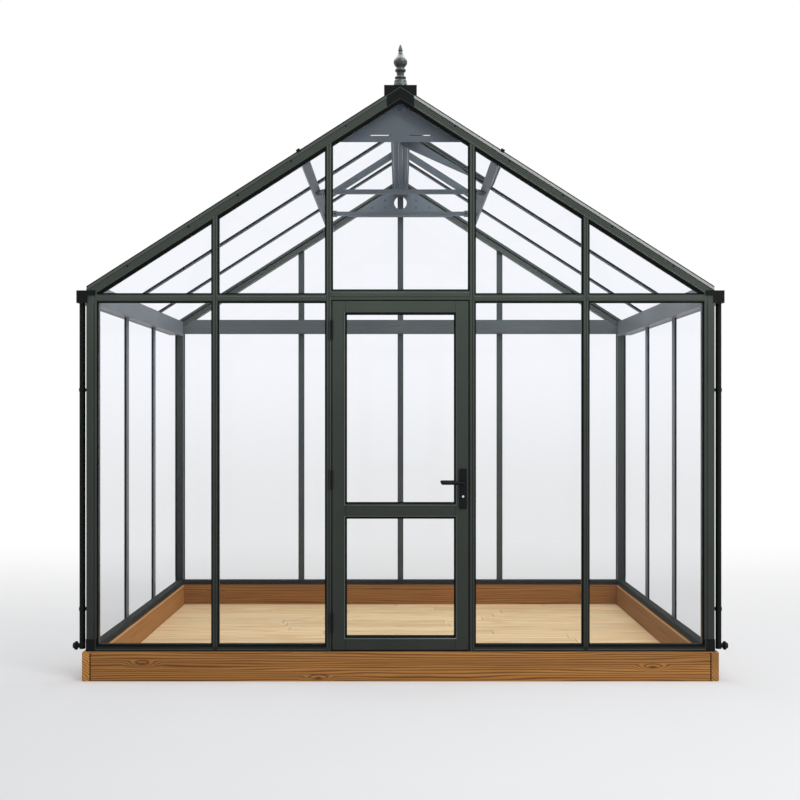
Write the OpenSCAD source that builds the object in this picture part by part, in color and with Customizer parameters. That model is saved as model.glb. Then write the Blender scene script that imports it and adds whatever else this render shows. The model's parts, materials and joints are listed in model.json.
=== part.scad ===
// Glass greenhouse: aluminium frame, clear panes, timber base, plank floor and one glazed door.
// Millimetres. X runs across the gable, Y runs back from the door, Z is up from the ground.

/* [Frame] */
// Width of the frame across the gable, outside to outside
frame_w = 3450; // [3000:10:4200]
// Depth of the frame along the ridge, outside to outside
frame_d = 2440; // [1900:10:3600]
// Height of the roof surface above the ground at the outer face of the side walls
eave_z = 2150; // [2135:1:2280]
// Slope of the roof in degrees
roof_pitch = 32.6; // [28:0.2:38]
// Depth of posts, sills and rafters through the wall, and width of a corner post
frame_t = 60; // [56:1:72]

/* [Glazing] */
// Thickness of a pane
glass_t = 4; // [3:0.5:6]
// Room left on each face of a pane in its slot
glass_fit = 0.5; // [0.3:0.1:0.8]
// Thickness of the outer lip that holds a pane
cap_t = 8; // [6:0.5:10]
// Strip of seal that shows between the outer lip and the body behind
seal_w = 9; // [7:0.5:11]
// Depth of the slot behind the outer lip
bite = 9; // [8:0.5:10]
// Room left at the edge of a pane in its slot
edge_gap = 1.5; // [1:0.25:2.5]
// Width of a glazing bar seen from inside
bar_w = 44; // [42:1:52]
// Depth of a front or back glazing bar through the wall
bar_d = 30; // [26:1:36]
// Depth of a side glazing bar through the wall
side_bar_d = 20; // [18:1:30]

/* [Base] */
// Height of the timber base
base_h = 160; // [130:5:190]
// Thickness of a base beam
base_t = 90; // [82:1:110]
// How far the base stands out from the frame
base_out = 20; // [14:1:30]
// Width of side beam end that shows at the front and back
base_lap = 45; // [30:1:60]
// Thickness of the plank floor
floor_t = 12; // [12:1:24]
// Ease of the edges of the base beams
base_ease = 4; // [2:0.5:6]
// Room left round the floor
floor_fit = 0.4; // [0.3:0.1:0.8]

/* [Walls] */
// Height of the sill rails
sill_h = 34; // [32:1:44]
// Height of the lower edge of the front transom
transom_z = 2075; // [2050:1:2085]
// Height of the front transom
transom_h = 54; // [50:1:60]
// Height of the lower edge of the back eave beam
back_beam_z = 2082; // [2058:1:2090]
// Height of the back eave beam
back_beam_h = 106; // [90:1:116]
// How far the side eave beams hang below the feet of the gable rafters
eave_drop = 19; // [12:1:28]
// Distance of the front mullions from the middle
front_mullion_x = 1019; // [900:1:1150]
// Distance of the side mullions and roof bars from mid depth
side_bar_y = 375; // [330:5:430]
// Distance of the outer back mullions from the middle
back_mullion_x = 762; // [600:1:900]

/* [Roof] */
// How far the gable rafters stand above the roof surface
barge_up = 14; // [8:1:18]
// Depth of a front gable rafter below the roof surface
rafter_h = 56; // [52:1:66]
// Depth of a back gable rafter below the roof surface
back_rafter_h = 46; // [42:1:60]
// How far the face of a gable rafter stops above its body
rafter_seal = 8; // [6:1:11]
// Depth of a roof bar below the roof surface
roof_bar_d = 17; // [17:0.5:24]
// Width of a roof bar seen from inside
roof_bar_w = 30; // [28:1:36]
// Width of the ridge beam
ridge_w = 118; // [100:2:130]
// Height of the ridge beam at its sides
ridge_h = 67; // [58:1:78]
// How far the roof panes reach past the side walls
roof_lap = 12; // [6:1:20]
// Distance of the purlins down the slope from the ridge line
purlin_u = 655; // [620:5:740]
// Width of a purlin along the slope
purlin_w = 48; // [40:1:56]
// Depth of a purlin square to the slope
purlin_d = 40; // [34:1:46]
// Height of a collar tie
tie_h = 27; // [22:1:32]
// Thickness of a collar tie or jack rafter along the ridge
tie_t = 24; // [18:1:32]
// Depth of a jack rafter square to the slope
jack_d = 40; // [28:1:48]
// Height of the gusset plates below the ridge line
gusset_h = 280; // [270:2:310]
// Thickness of a gusset plate
gusset_t = 4; // [3:0.5:6]
// Diameter of the vent hole in the back gusset plate
gusset_hole_d = 96; // [70:2:104]
// Width of the box at the front ridge end
ridge_box_w = 180; // [160:2:200]
// Length of the boxes at the ridge ends
ridge_box_l = 120; // [100:2:150]
// Height of a finial
finial_h = 243; // [200:1:280]
// Diameter of a finial at its bulb
finial_d = 77; // [64:1:84]

/* [Roof vent] */
// Length of the vent down the slope
vent_l = 560; // [520:2:600]
// Width of the vent frame members
vent_frame_w = 34; // [30:1:42]
// Height of the vent frame above the roof surface
vent_rise = 17; // [12:0.5:20]

/* [Rainwater] */
// Width of a gutter
gutter_w = 54; // [46:1:64]
// Height of the roof surface above the underside of a gutter
gutter_drop = 76; // [70:1:82]
// Height of a gutter
gutter_h = 69; // [56:1:72]
// Thickness of the gutter walls
gutter_t = 2.5; // [2:0.25:4]
// Thickness of the gutter end caps
end_cap_t = 6; // [4:0.5:8]
// Diameter of a downpipe
pipe_d = 32; // [26:1:36]
// Height of the lower pipe clips above the ground
clip_low_z = 389; // [320:1:500]
// Height of the upper pipe clips above the ground
clip_high_z = 1597; // [1400:1:1750]

/* [Door] */
// Clear width between the door posts
door_clear_w = 761; // [700:1:820]
// Running gap round the door
door_gap = 7; // [6.8:0.1:8]
// Height of the lower edge of the door head
door_head_z = 2092; // [2080:1:2094]
// Height of the door head
door_head_h = 58; // [52:1:62]
// Thickness of the door
door_t = 40; // [36:1:42]
// Width of the door stiles
stile_w = 72; // [68:1:84]
// Height of the door top rail
top_rail_h = 68; // [56:1:80]
// Height of the door middle rail
mid_rail_h = 78; // [64:1:90]
// Height of the middle of the door middle rail
mid_rail_z = 933; // [880:1:980]
// Height of the door bottom rail
bottom_rail_h = 70; // [60:1:90]
// Radius of a hinge knuckle
knuckle_r = 7.5; // [7:0.25:8]
// Radius of a hinge pin
pin_r = 4; // [3:0.25:4.5]
// Running clearance round a hinge pin
pin_fit = 0.06; // [0.04:0.01:0.09]
// Height of a hinge
hinge_h = 106; // [90:2:120]
// Height of the lever above the ground
lever_z = 1086; // [1050:1:1120]
// Length of the lever from its axis to its tip
lever_l = 122; // [100:1:135]
// Height of a handle plate
plate_h = 220; // [180:2:240]
// Width of a handle plate
plate_w = 41; // [34:1:42]
// Thickness of a handle plate
plate_t = 8; // [6:0.5:9]

/* [Hidden] */
$fn = 48;
hw = frame_w / 2;
hd = frame_d / 2;
pc = cos(roof_pitch);
ps = sin(roof_pitch);
pt = tan(roof_pitch);
z_ridge = eave_z + pt * hw;
box_top_z = z_ridge + barge_up / pc + 7;
post_w = frame_t;
slot_t = glass_t + 2 * glass_fit;
body_v = cap_t + slot_t;
cap_w = bar_w - 2 * seal_w;
web_w = cap_w - 2 * bite;
pane_in = seal_w + bite - edge_gap;
rafter_lip = 14;
joint_fit = 0.3;
eave_beam_z = eave_z - rafter_h / pc - eave_drop;
sill_z = base_h;
wall_z = sill_z + sill_h;
post_in = hw - post_w;
side_in = hd - post_w;
bay = side_bar_y;
door_x = door_clear_w / 2;
door_post_x = door_x + cap_w / 2;
leaf_x = door_x - door_gap;
threshold_t = 3;
leaf_z0 = base_h + threshold_t + 5.5;
leaf_z1 = door_head_z - door_gap;
stop_v = door_t + 6;
stop_lip = 11;
door_glass_v = (door_t - slot_t) / 2;
hinge_x = -(door_x - door_gap / 2);
hinge_v = -knuckle_r - 1.5;
hinge_zs = [leaf_z1 - 160, (leaf_z0 + leaf_z1) / 2 - 24, leaf_z0 + 148];
leaf_plate_t = 2.5;
handle_x = leaf_x - 30;
plate_z = lever_z - plate_h * 0.65;
hub_r = 10;
hub_fit = 0.3;
lever_out = plate_t + 34;
pipe_x = hw + gutter_w / 2 + 4;
pipe_v = pipe_d / 2 + 16;
gutter_z = eave_z - gutter_drop;
spout_z = base_h + 18;
roof_top_u = (ridge_w / 2 + joint_fit) / pc;
eave_u = hw / pc;
overrun = hw / 4;
vent_u0 = (ridge_box_w / 2 + 14) / pc;
vent_u1 = vent_u0 + vent_l;
vent_arm_u = vent_u0 + vent_l * 0.726;
vent_y0 = -hd + frame_t + joint_fit;
vent_y1 = -bay - cap_w / 2 - joint_fit;
purlin_p = roof_bar_d + joint_fit;

frame_colour = "#4a544e";
black_colour = "#1b1d1d";
timber_colour = "#a06a3a";
floor_colour = "#d8b98e";
glass_colour = [0.80, 0.90, 0.94, 0.28];

// Height of the roof at distance x from the middle, p below the surface square to the slope
function zr(p, x) = z_ridge - p / pc - pt * abs(x);
// Point u down the right slope from the ridge line and p below the surface
function slope_pt(u, p) = [u * pc - p * ps, z_ridge - u * ps - p * pc];
// Outline of the gable under depth p
function gable(p) = [[-hw - overrun, 0], [hw + overrun, 0], [hw + overrun, zr(p, hw + overrun)],
    [0, zr(p, 0)], [-hw - overrun, zr(p, hw + overrun)]];
// Band of the right slope between two depths, cut upright at x0 and x1
function band(p0, p1, x0, x1) = [[x0, zr(p0, 0) - pt * x0], [x1, zr(p0, 0) - pt * x1],
    [x1, zr(p1, 0) - pt * x1], [x0, zr(p1, 0) - pt * x0]];

// Upright outline drawn in X and Z, carried from v0 to v1
module upright(v0, v1) {
    translate([0, v1, 0]) rotate([90, 0, 0]) linear_extrude(v1 - v0) children();
}

// Front wall: v runs in from the outer face
module front() {
    translate([0, -hd, 0]) children();
}

module back() {
    mirror([0, 1, 0]) front() children();
}

module both_ends() {
    front() children();
    back() children();
}

// Right wall: x runs along the wall and v runs in from the outer face
module right_wall() {
    translate([hw, 0, 0]) rotate([0, 0, 90]) children();
}

module both_walls() {
    right_wall() children();
    mirror([1, 0, 0]) right_wall() children();
}

module both_sides() {
    children();
    mirror([1, 0, 0]) children();
}

// Right slope: x runs down the slope, y along the ridge, z up from the roof surface
module slope() {
    translate([0, 0, z_ridge]) rotate([0, roof_pitch, 0]) children();
}

// Depth of the outer face of a gable rafter h deep, of its web and of the pane edge behind it
function rafter_cap(h) = h - rafter_seal;
function rafter_web(h) = rafter_cap(h) - rafter_lip;
function rafter_pane(h) = rafter_web(h) + edge_gap;

// Space under gable rafters h deep, stepped behind their face
module under_rafters(h) {
    upright(-1, body_v - 1) polygon(gable(rafter_cap(h) + joint_fit));
    upright(-1, frame_t + 1) polygon(gable(h + joint_fit));
}

// Glazing bar standing at z0, its outer lip reaching down over the lip of the rail below
module bar(z0, h, depth = bar_d) {
    translate([0, 0, z0]) linear_extrude(h) bar_section(depth);
    translate([-cap_w / 2, 0, z0 - seal_w]) cube([cap_w, cap_t, seal_w + 1]);
}

// Glazing bar in plan: outer lip, web and inner flange
module bar_section(depth = bar_d) {
    translate([-cap_w / 2, 0]) square([cap_w, cap_t]);
    translate([-web_w / 2, 0]) square([web_w, depth]);
    translate([-bar_w / 2, body_v]) square([bar_w, depth - body_v]);
}

// Rail with a pane slot above, below or both, from x0 to x1, its outer lip longer at both ends
module rail(x0, x1, z0, h, depth, top, bottom, lip_end = seal_w) {
    lip_z0 = bottom ? z0 + seal_w : z0;
    lip_z1 = top ? z0 + h - seal_w : z0 + h;
    slot = seal_w + bite;
    translate([x0 - lip_end, 0, lip_z0]) cube([x1 - x0 + 2 * lip_end, cap_t, lip_z1 - lip_z0]);
    difference() {
        translate([x0, 0, z0]) cube([x1 - x0, depth, h]);
        if (top) {
            translate([x0 - 1, -1, lip_z1]) cube([x1 - x0 + 2, cap_t + 2, seal_w + 1]);
            translate([x0 - 1, cap_t, z0 + h - slot]) cube([x1 - x0 + 2, slot_t, slot + 1]);
        }
        if (bottom) {
            translate([x0 - 1, -1, z0 - 1]) cube([x1 - x0 + 2, cap_t + 2, seal_w + 1]);
            translate([x0 - 1, cap_t, z0 - 1]) cube([x1 - x0 + 2, slot_t, slot + 1]);
        }
    }
}

// Pane standing in a wall, given the edges of the bodies round it
module pane(x0, x1, z0, z1) {
    translate([x0, cap_t + glass_fit, z0]) cube([x1 - x0, glass_t, z1 - z0]);
}

// Pane standing in a gable, cut to an outline
module gable_pane(outline) {
    upright(cap_t + glass_fit, cap_t + glass_fit + glass_t) polygon(outline);
}

// End beam of the front: outer upright edges and top edge eased
module end_beam() {
    e = base_ease;
    x = hw + base_out - base_lap;
    y = hd + base_out;
    intersection() {
        linear_extrude(base_h) polygon([[-x, -y + e], [-x + e, -y], [x - e, -y], [x, -y + e],
            [x, -y + base_t], [-x, -y + base_t]]);
        rotate([90, 0, 90]) linear_extrude(2 * x + 2, center = true)
            polygon([[-y, 0], [-y + base_t, 0], [-y + base_t, base_h], [-y + e, base_h], [-y, base_h - e]]);
    }
}

module base_front_beam() {
    color(timber_colour) end_beam();
}

module base_back_beam() {
    color(timber_colour) mirror([0, 1, 0]) end_beam();
}

// Side beam: full length outside, stopped between the end beams inside, eased like them
module side_beam() {
    e = base_ease;
    x0 = hw + base_out - base_t;
    x1 = hw + base_out - base_lap;
    x2 = hw + base_out;
    y = hd + base_out;
    intersection() {
        linear_extrude(base_h) polygon([[x1, -y + e], [x1 + e, -y], [x2 - e, -y], [x2, -y + e],
            [x2, y - e], [x2 - e, y], [x1 + e, y], [x1, y - e], [x1, y - base_t], [x0, y - base_t],
            [x0, -y + base_t], [x1, -y + base_t]]);
        rotate([90, 0, 0]) linear_extrude(2 * y + 2, center = true)
            polygon([[x0, 0], [x2, 0], [x2, base_h - e], [x2 - e, base_h], [x0, base_h]]);
        rotate([90, 0, 90]) linear_extrude(3 * x2, center = true)
            polygon([[-y, 0], [y, 0], [y, base_h - e], [y - e, base_h], [-y + e, base_h], [-y, base_h - e]]);
    }
}

module base_left_beam() {
    color(timber_colour) mirror([1, 0, 0]) side_beam();
}

module base_right_beam() {
    color(timber_colour) side_beam();
}

module floor_deck() {
    fx = hw + base_out - base_t - floor_fit;
    fy = hd + base_out - base_t - floor_fit;
    color(floor_colour) translate([-fx, -fy, 0]) cube([2 * fx, 2 * fy, floor_t]);
}

module front_sill() {
    color(frame_colour) both_sides() front()
        rail(door_post_x + bar_w / 2, post_in, sill_z, sill_h, frame_t, true, false);
}

module back_sill() {
    color(frame_colour) back() rail(-post_in, post_in, sill_z, sill_h, frame_t, true, false);
}

module side_sills() {
    color(frame_colour) both_walls()
        rail(-side_in, side_in, sill_z, sill_h, frame_t, true, false);
}

// Flat plate under the door with a raised stop at the back
module door_threshold() {
    color(frame_colour) front() {
        translate([-door_x, 0, base_h]) cube([2 * door_x, frame_t, threshold_t]);
        translate([-door_x + stop_lip, stop_v, base_h])
            cube([2 * (door_x - stop_lip), frame_t - stop_v, 24]);
    }
}

// Corner post in plan, with a pane slot toward each wall
module post_section() {
    difference() {
        square([post_w, post_w]);
        translate([post_w - seal_w, -1]) square([seal_w + 1, cap_t + 2]);
        translate([post_w - seal_w - bite, cap_t]) square([seal_w + bite + 1, slot_t]);
        translate([-1, post_w - seal_w]) square([cap_t + 2, seal_w + 1]);
        translate([cap_t, post_w - seal_w - bite]) square([slot_t, seal_w + bite + 1]);
    }
}

// Corner post cut under a gable rafter h deep
module corner_post(h) {
    intersection() {
        translate([-hw, 0, base_h]) linear_extrude(z_ridge) post_section();
        under_rafters(h);
    }
}

module corner_posts() {
    color(frame_colour) {
        front() both_sides() corner_post(rafter_h);
        back() both_sides() corner_post(back_rafter_h);
    }
}

// Foot cover wrapped round the outer corner of a post
module post_feet() {
    foot_w = 44;
    foot_h = 67;
    foot_t = 3;
    color(black_colour) both_ends() both_sides() {
        translate([-hw - foot_t, -foot_t, base_h]) cube([foot_w + foot_t, foot_t, foot_h]);
        translate([-hw - foot_t, -foot_t, base_h]) cube([foot_t, foot_w + foot_t, foot_h]);
    }
}

module front_mullions() {
    color(frame_colour) front() both_sides() intersection() {
        translate([front_mullion_x, 0, 0]) bar(wall_z, z_ridge);
        under_rafters(rafter_h);
    }
}

// Door post: a glazing bar, square and deeper on the door side, with a stop for the door
module door_posts() {
    color(frame_colour) front() both_sides() intersection() {
        union() {
            translate([door_post_x, 0, door_head_z]) linear_extrude(z_ridge) bar_section();
            translate([door_post_x, 0, base_h]) linear_extrude(door_head_z + 1 - base_h) difference() {
                bar_section();
                translate([-bar_w, -1]) square([bar_w - cap_w / 2, bar_d + 2]);
            }
            translate([door_x, body_v, base_h])
                cube([cap_w, frame_t - body_v, door_head_z + door_head_h - base_h]);
            translate([door_x - stop_lip, stop_v, base_h + threshold_t])
                cube([stop_lip + 1, frame_t - stop_v, door_head_z - base_h - threshold_t]);
            translate([door_x - seal_w + joint_fit, bar_d - 1, door_head_z - 1])
                cube([seal_w, frame_t - bar_d + 1, door_head_h + 1]);
        }
        under_rafters(rafter_h);
    }
}

// Transom pieces between the bars, cut under the rafters at the corners
module front_transom() {
    color(frame_colour) front() both_sides() intersection() {
        union() {
            rail(door_post_x + bar_w / 2, front_mullion_x - bar_w / 2, transom_z, transom_h,
                bar_d, true, true);
            rail(front_mullion_x + bar_w / 2, post_in, transom_z, transom_h, bar_d, true, true);
        }
        under_rafters(rafter_h);
    }
}

// Head over the door, with a stop behind the leaf
module door_head() {
    color(frame_colour) front() {
        rail(-door_x + seal_w, door_x - seal_w, door_head_z, door_head_h, frame_t, true, false);
        translate([-door_x + stop_lip, stop_v, door_head_z - stop_lip])
            cube([2 * (door_x - stop_lip), frame_t - stop_v, stop_lip + 1]);
    }
}

module back_mullions() {
    color(frame_colour) back() intersection() {
        union() for (x = [-back_mullion_x, 0, back_mullion_x])
            translate([x, 0, 0]) bar(wall_z, z_ridge);
        under_rafters(back_rafter_h);
    }
}

// Back eave beam: pane seats between the bars and a continuous beam inside them
module back_eave_beam() {
    inner_v = bar_d + joint_fit;
    color(frame_colour) back() intersection() {
        union() {
            both_sides() {
                rail(bar_w / 2, back_mullion_x - bar_w / 2, back_beam_z, back_beam_h, frame_t,
                    true, true);
                rail(back_mullion_x + bar_w / 2, post_in, back_beam_z, back_beam_h, frame_t,
                    true, true);
            }
            translate([-post_in, inner_v, back_beam_z])
                cube([2 * post_in, frame_t - inner_v, back_beam_h]);
        }
        under_rafters(back_rafter_h);
    }
}

module side_mullions() {
    color(frame_colour) both_walls() for (x = [-bay, bay])
        translate([x, 0, 0]) {
            bar(wall_z, eave_beam_z - wall_z, side_bar_d);
            translate([-cap_w / 2, 0, eave_beam_z - 1]) cube([cap_w, cap_t, seal_w + 1]);
        }
}

// Eave beam: upright wall face below, sloping seat for the roof panes above
module eave_beams() {
    color(frame_colour) both_walls() intersection() {
        rail(-side_in, side_in, eave_beam_z, overrun, frame_t, false, true, 0);
        rotate([0, 0, -90]) translate([-hw, 0, 0])
            upright(-hd, hd) polygon(gable(body_v));
    }
}

// Open channel along the foot of the roof, its inner wall lower to pass under the panes
module gutters() {
    color(frame_colour) both_sides() difference() {
        translate([hw, -hd, gutter_z]) cube([gutter_w, 2 * hd, gutter_h]);
        translate([hw + gutter_t, -hd - 1, gutter_z + gutter_t])
            cube([gutter_w - 2 * gutter_t, 2 * hd + 2, gutter_h]);
        translate([hw - 1, -hd - 1, zr(body_v + 1, hw + gutter_t)])
            cube([gutter_t + 2, 2 * hd + 2, gutter_h]);
    }
}

// Plate closing a gutter end, stepped over the corner post
module gutter_end_caps() {
    step = 49;
    color(black_colour) both_ends() both_sides() upright(-end_cap_t, 0) {
        translate([hw - 6, gutter_z]) square([gutter_w + 6, gutter_h]);
        translate([hw - step, gutter_z + gutter_h - 28]) square([step + 1, 28]);
    }
}

// Downpipe with a side spout at its foot
module downpipes() {
    color(frame_colour) front() both_sides() {
        translate([pipe_x, pipe_v, base_h + 9]) cylinder(d = pipe_d, h = gutter_z - base_h - 9);
        translate([pipe_x, pipe_v, spout_z + 8]) rotate([0, 90, 0]) rotate_extrude()
            polygon([[0, 0], [13, 0], [13, 24], [20, 26], [24, 30], [24, 38], [20, 42], [15, 44],
                [15, 50], [0, 50]]);
    }
}

// Ring round the pipe with a foot on the corner post
module pipe_clips() {
    clip_h = 18;
    ring_t = 3;
    color(black_colour) front() both_sides() for (z = [clip_low_z, clip_high_z])
        translate([0, pipe_v, z - clip_h / 2]) difference() {
            union() {
                translate([pipe_x, 0, 0]) cylinder(d = pipe_d + 2 * ring_t, h = clip_h);
                translate([hw, -8, 0]) cube([pipe_x - hw, 16, clip_h]);
            }
            translate([pipe_x, 0, -1]) cylinder(d = pipe_d + 2 * joint_fit, h = clip_h + 2);
        }
}

// Right gable rafter, h deep under the roof surface, with steps and slots for gable and roof panes
module gable_rafter(h) {
    difference() {
        upright(0, frame_t) polygon(band(-barge_up, h, joint_fit, hw));
        upright(-1, cap_t) polygon(band(rafter_cap(h), h + 60, -1, hw + 1));
        upright(cap_t, body_v) polygon(band(rafter_web(h), h + 60, -1, hw + 1));
        upright(frame_t - bite, frame_t + 1) polygon(band(cap_t, body_v, -1, hw + 1));
    }
}

module front_rafters() {
    color(frame_colour) front() both_sides() gable_rafter(rafter_h);
}

module back_rafters() {
    color(frame_colour) back() both_sides() gable_rafter(back_rafter_h);
}

// Chevron plate over the joint of the rafters
module apex_plate(h) {
    plate_x = 74;
    p0 = 14 - barge_up;
    p1 = rafter_cap(h) - 16;
    upright(-3, 0)
        polygon([[0, zr(p0, 0)], [plate_x, zr(p0, plate_x)], [plate_x, zr(p1, plate_x)],
            [0, zr(p1, 0)], [-plate_x, zr(p1, plate_x)], [-plate_x, zr(p0, plate_x)]]);
}

module apex_plates() {
    color(black_colour) {
        front() apex_plate(rafter_h);
        back() apex_plate(back_rafter_h);
    }
}

// Ridge beam: pitched top, pane slots at the sides and two grooves below
module ridge_beam() {
    rx = ridge_w / 2;
    zb = zr(0, rx) - ridge_h;
    color(frame_colour) difference() {
        upright(-hd + frame_t, hd - frame_t)
            polygon([[-rx, zb], [rx, zb], [rx, zr(0, rx)], [0, zr(0, 0)], [-rx, zr(0, rx)]]);
        both_sides() upright(-hd, hd) polygon(band(cap_t, body_v, rx - bite, rx + 10));
        for (x = [-22, 22]) translate([x - 6, -hd, zb - 1]) cube([12, 2 * hd, 9]);
    }
}

// Box w wide on the roof at a ridge end, with a stepped saddle cut below
module ridge_end_box(w) {
    difference() {
        translate([-w / 2, cap_t + 8, z_ridge - 100])
            cube([w, ridge_box_l, box_top_z - z_ridge + 100]);
        upright(0, ridge_box_l + 40) polygon(gable(-joint_fit));
        upright(0, frame_t + joint_fit) polygon(gable(-barge_up - joint_fit));
    }
}

// The back box is no wider than the ridge beam
module ridge_end_boxes() {
    color(black_colour) {
        front() ridge_end_box(ridge_box_w);
        back() ridge_end_box(ridge_w);
    }
}

// Half outline of a finial: turned drum, rings, neck, bulb and tip
function arc_pts(cx, cz, r, a0, a1, n) =
    [for (i = [0 : n]) [cx + r * cos(a0 + (a1 - a0) * i / n), cz + r * sin(a0 + (a1 - a0) * i / n)]];
module finials() {
    r = finial_d / 2;
    k = finial_h / 243;
    outline = concat(
        [[0, 0], [r * 0.98, 0], [r * 0.98, 18 * k], [r * 0.94, 25 * k], [r * 0.90, 39 * k]],
        [[r * 0.80, 44 * k], [r * 0.66, 47 * k]],
        arc_pts(r * 0.594, 56 * k, 9 * k, -80, 80, 8),
        [[r * 0.50, 68 * k], [r * 0.50, 72 * k], [r * 0.56, 76 * k], [r * 0.56, 80 * k], [r * 0.50, 84 * k]],
        arc_pts(r * 0.53, 98 * k, 10 * k, -80, 80, 8),
        [[r * 0.58, 111 * k], [r * 0.60, 115 * k], [r * 0.72, 120 * k], [r * 0.90, 129 * k]],
        [[r * 0.98, 137 * k], [r, 143 * k], [r * 0.98, 150 * k], [r * 0.89, 159 * k], [r * 0.74, 167 * k]],
        [[r * 0.58, 174 * k], [r * 0.44, 182 * k], [r * 0.35, 191 * k], [r * 0.30, 200 * k]],
        arc_pts(r * 0.22, 210 * k, 5 * k, -70, 70, 6),
        [[r * 0.28, 217 * k], [r * 0.26, 222 * k], [r * 0.21, 229 * k], [r * 0.13, 238 * k]],
        [[r * 0.05, 242 * k], [0, 243 * k]]);
    color(frame_colour) both_ends() translate([0, cap_t + 8 + ridge_box_l / 2, box_top_z])
        rotate_extrude() polygon(outline);
}

// Roof bar on the right slope at y, cut upright at the ridge beam and at the eave beam
module roof_bar(y) {
    difference() {
        slope() translate([0, y, 0]) {
            translate([0, -cap_w / 2, -cap_t]) cube([eave_u - 4, cap_w, cap_t]);
            translate([0, -web_w / 2, -roof_bar_d]) cube([eave_u - 4, web_w, roof_bar_d]);
            translate([0, -roof_bar_w / 2, -roof_bar_d])
                cube([eave_u - 4, roof_bar_w, roof_bar_d - body_v]);
        }
        translate([-ridge_w, y - bar_w, z_ridge - overrun])
            cube([1.5 * ridge_w + joint_fit, 2 * bar_w, 2 * overrun]);
        upright(y - 50, y + 50)
            polygon(band(body_v - joint_fit, rafter_h + 100, hw - frame_t - joint_fit, hw + 100));
    }
}

module roof_bars() {
    color(frame_colour) both_sides() for (y = [-bay, bay]) roof_bar(y);
}

module purlins() {
    color(frame_colour) both_sides() slope()
        translate([purlin_u - purlin_w / 2, -hd + frame_t, -purlin_p - purlin_d])
            cube([purlin_w, 2 * (hd - frame_t), purlin_d]);
}

// Tie between the purlins under a pair of roof bars, ends cut to the purlin undersides
module collar_ties() {
    z1 = slope_pt(purlin_u, purlin_p + purlin_d)[1] + tie_h / 2 + 4;
    z0 = z1 - tie_h;
    p = purlin_p + purlin_d + joint_fit;
    x1 = (zr(p, 0) - z1) / pt;
    x0 = (zr(p, 0) - z0) / pt;
    color(frame_colour) for (y = [-bay, bay])
        upright(y - tie_t / 2, y + tie_t / 2) polygon([[-x0, z0], [x0, z0], [x1, z1], [-x1, z1]]);
}

// Short rafter from the ridge beam to the purlin at mid depth
module jack_rafters() {
    x0 = ridge_w / 2 + joint_fit;
    p0 = roof_bar_d + 1;
    p1 = p0 + jack_d;
    u1 = purlin_u - purlin_w / 2 - joint_fit;
    color(frame_colour) both_sides() upright(-tie_t / 2, tie_t / 2)
        polygon([[x0, zr(p0, x0)], slope_pt(u1, p0), slope_pt(u1, p1), [x0, zr(p1, x0)]]);
}

// Gusset plate inside the gable, notched round the ridge beam, with two slots
module gusset(hole) {
    n = ridge_w / 2 + joint_fit;
    zn = zr(0, ridge_w / 2) - ridge_h - joint_fit;
    zb = z_ridge - gusset_h;
    p = roof_bar_d + 2;
    xb = (zr(p, 0) - zb) / pt;
    difference() {
        upright(frame_t, frame_t + gusset_t)
            polygon([[-xb, zb], [xb, zb], [n, zr(p, n)], [n, zn], [-n, zn], [-n, zr(p, n)]]);
        both_sides() translate([50, frame_t - 1, zb + 35]) cube([115, gusset_t + 2, 5]);
        if (hole) translate([0, frame_t - 1, zb + 109]) rotate([-90, 0, 0])
            cylinder(d = gusset_hole_d, h = gusset_t + 2);
    }
}

module front_gusset() {
    color(frame_colour) front() gusset(false);
}

module back_gusset() {
    color(frame_colour) back() gusset(true);
}

// Vent frame on the right slope beside the ridge, in the front bay
module vent_frame() {
    w = vent_frame_w;
    fh = vent_rise + cap_t - joint_fit;
    color(frame_colour) slope() difference() {
        translate([vent_u0, vent_y0, -cap_t + joint_fit]) cube([vent_l, vent_y1 - vent_y0, fh]);
        translate([vent_u0 + w, vent_y0 + w, -cap_t - 1])
            cube([vent_l - 2 * w, vent_y1 - vent_y0 - 2 * w, fh + 3]);
        translate([vent_u0 + w - bite, vent_y0 + w - bite, -cap_t + fh / 2 - slot_t / 2])
            cube([vent_l - 2 * (w - bite), vent_y1 - vent_y0 - 2 * (w - bite), slot_t]);
    }
}

module vent_glass() {
    w = vent_frame_w - bite + edge_gap;
    fh = vent_rise + cap_t - joint_fit;
    color(glass_colour) slope()
        translate([vent_u0 + w, vent_y0 + w, -cap_t + fh / 2 - glass_t / 2])
            cube([vent_l - 2 * w, vent_y1 - vent_y0 - 2 * w, glass_t]);
}

// Cross bars at the ridge and under the lower edge of the vent
module vent_crossbars() {
    y1 = -bay - roof_bar_w / 2 - joint_fit;
    color(frame_colour) {
        upright(vent_y0, y1)
            polygon(band(0, roof_bar_d, ridge_w / 2 + joint_fit, vent_u0 * pc - cap_t * ps));
        slope() translate([vent_u1 - 36, vent_y0, -roof_bar_d])
            cube([30, y1 - vent_y0, roof_bar_d - body_v]);
    }
}

// Tapered arm of the vent, from under the ridge beam along the roof bar
module vent_opener() {
    x0 = ridge_w / 2 + joint_fit;
    z0 = zr(0, ridge_w / 2) - ridge_h - joint_fit;
    p0 = roof_bar_d + 1;
    y1 = -bay - 46;
    color(frame_colour) upright(y1 - 18, y1)
        polygon([[0, z0 - 14], [0, z0], [x0, z0], [x0, z0 + 34],
            slope_pt(vent_arm_u - vent_l / 8, p0), slope_pt(vent_arm_u, p0 + 12)]);
}

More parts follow.
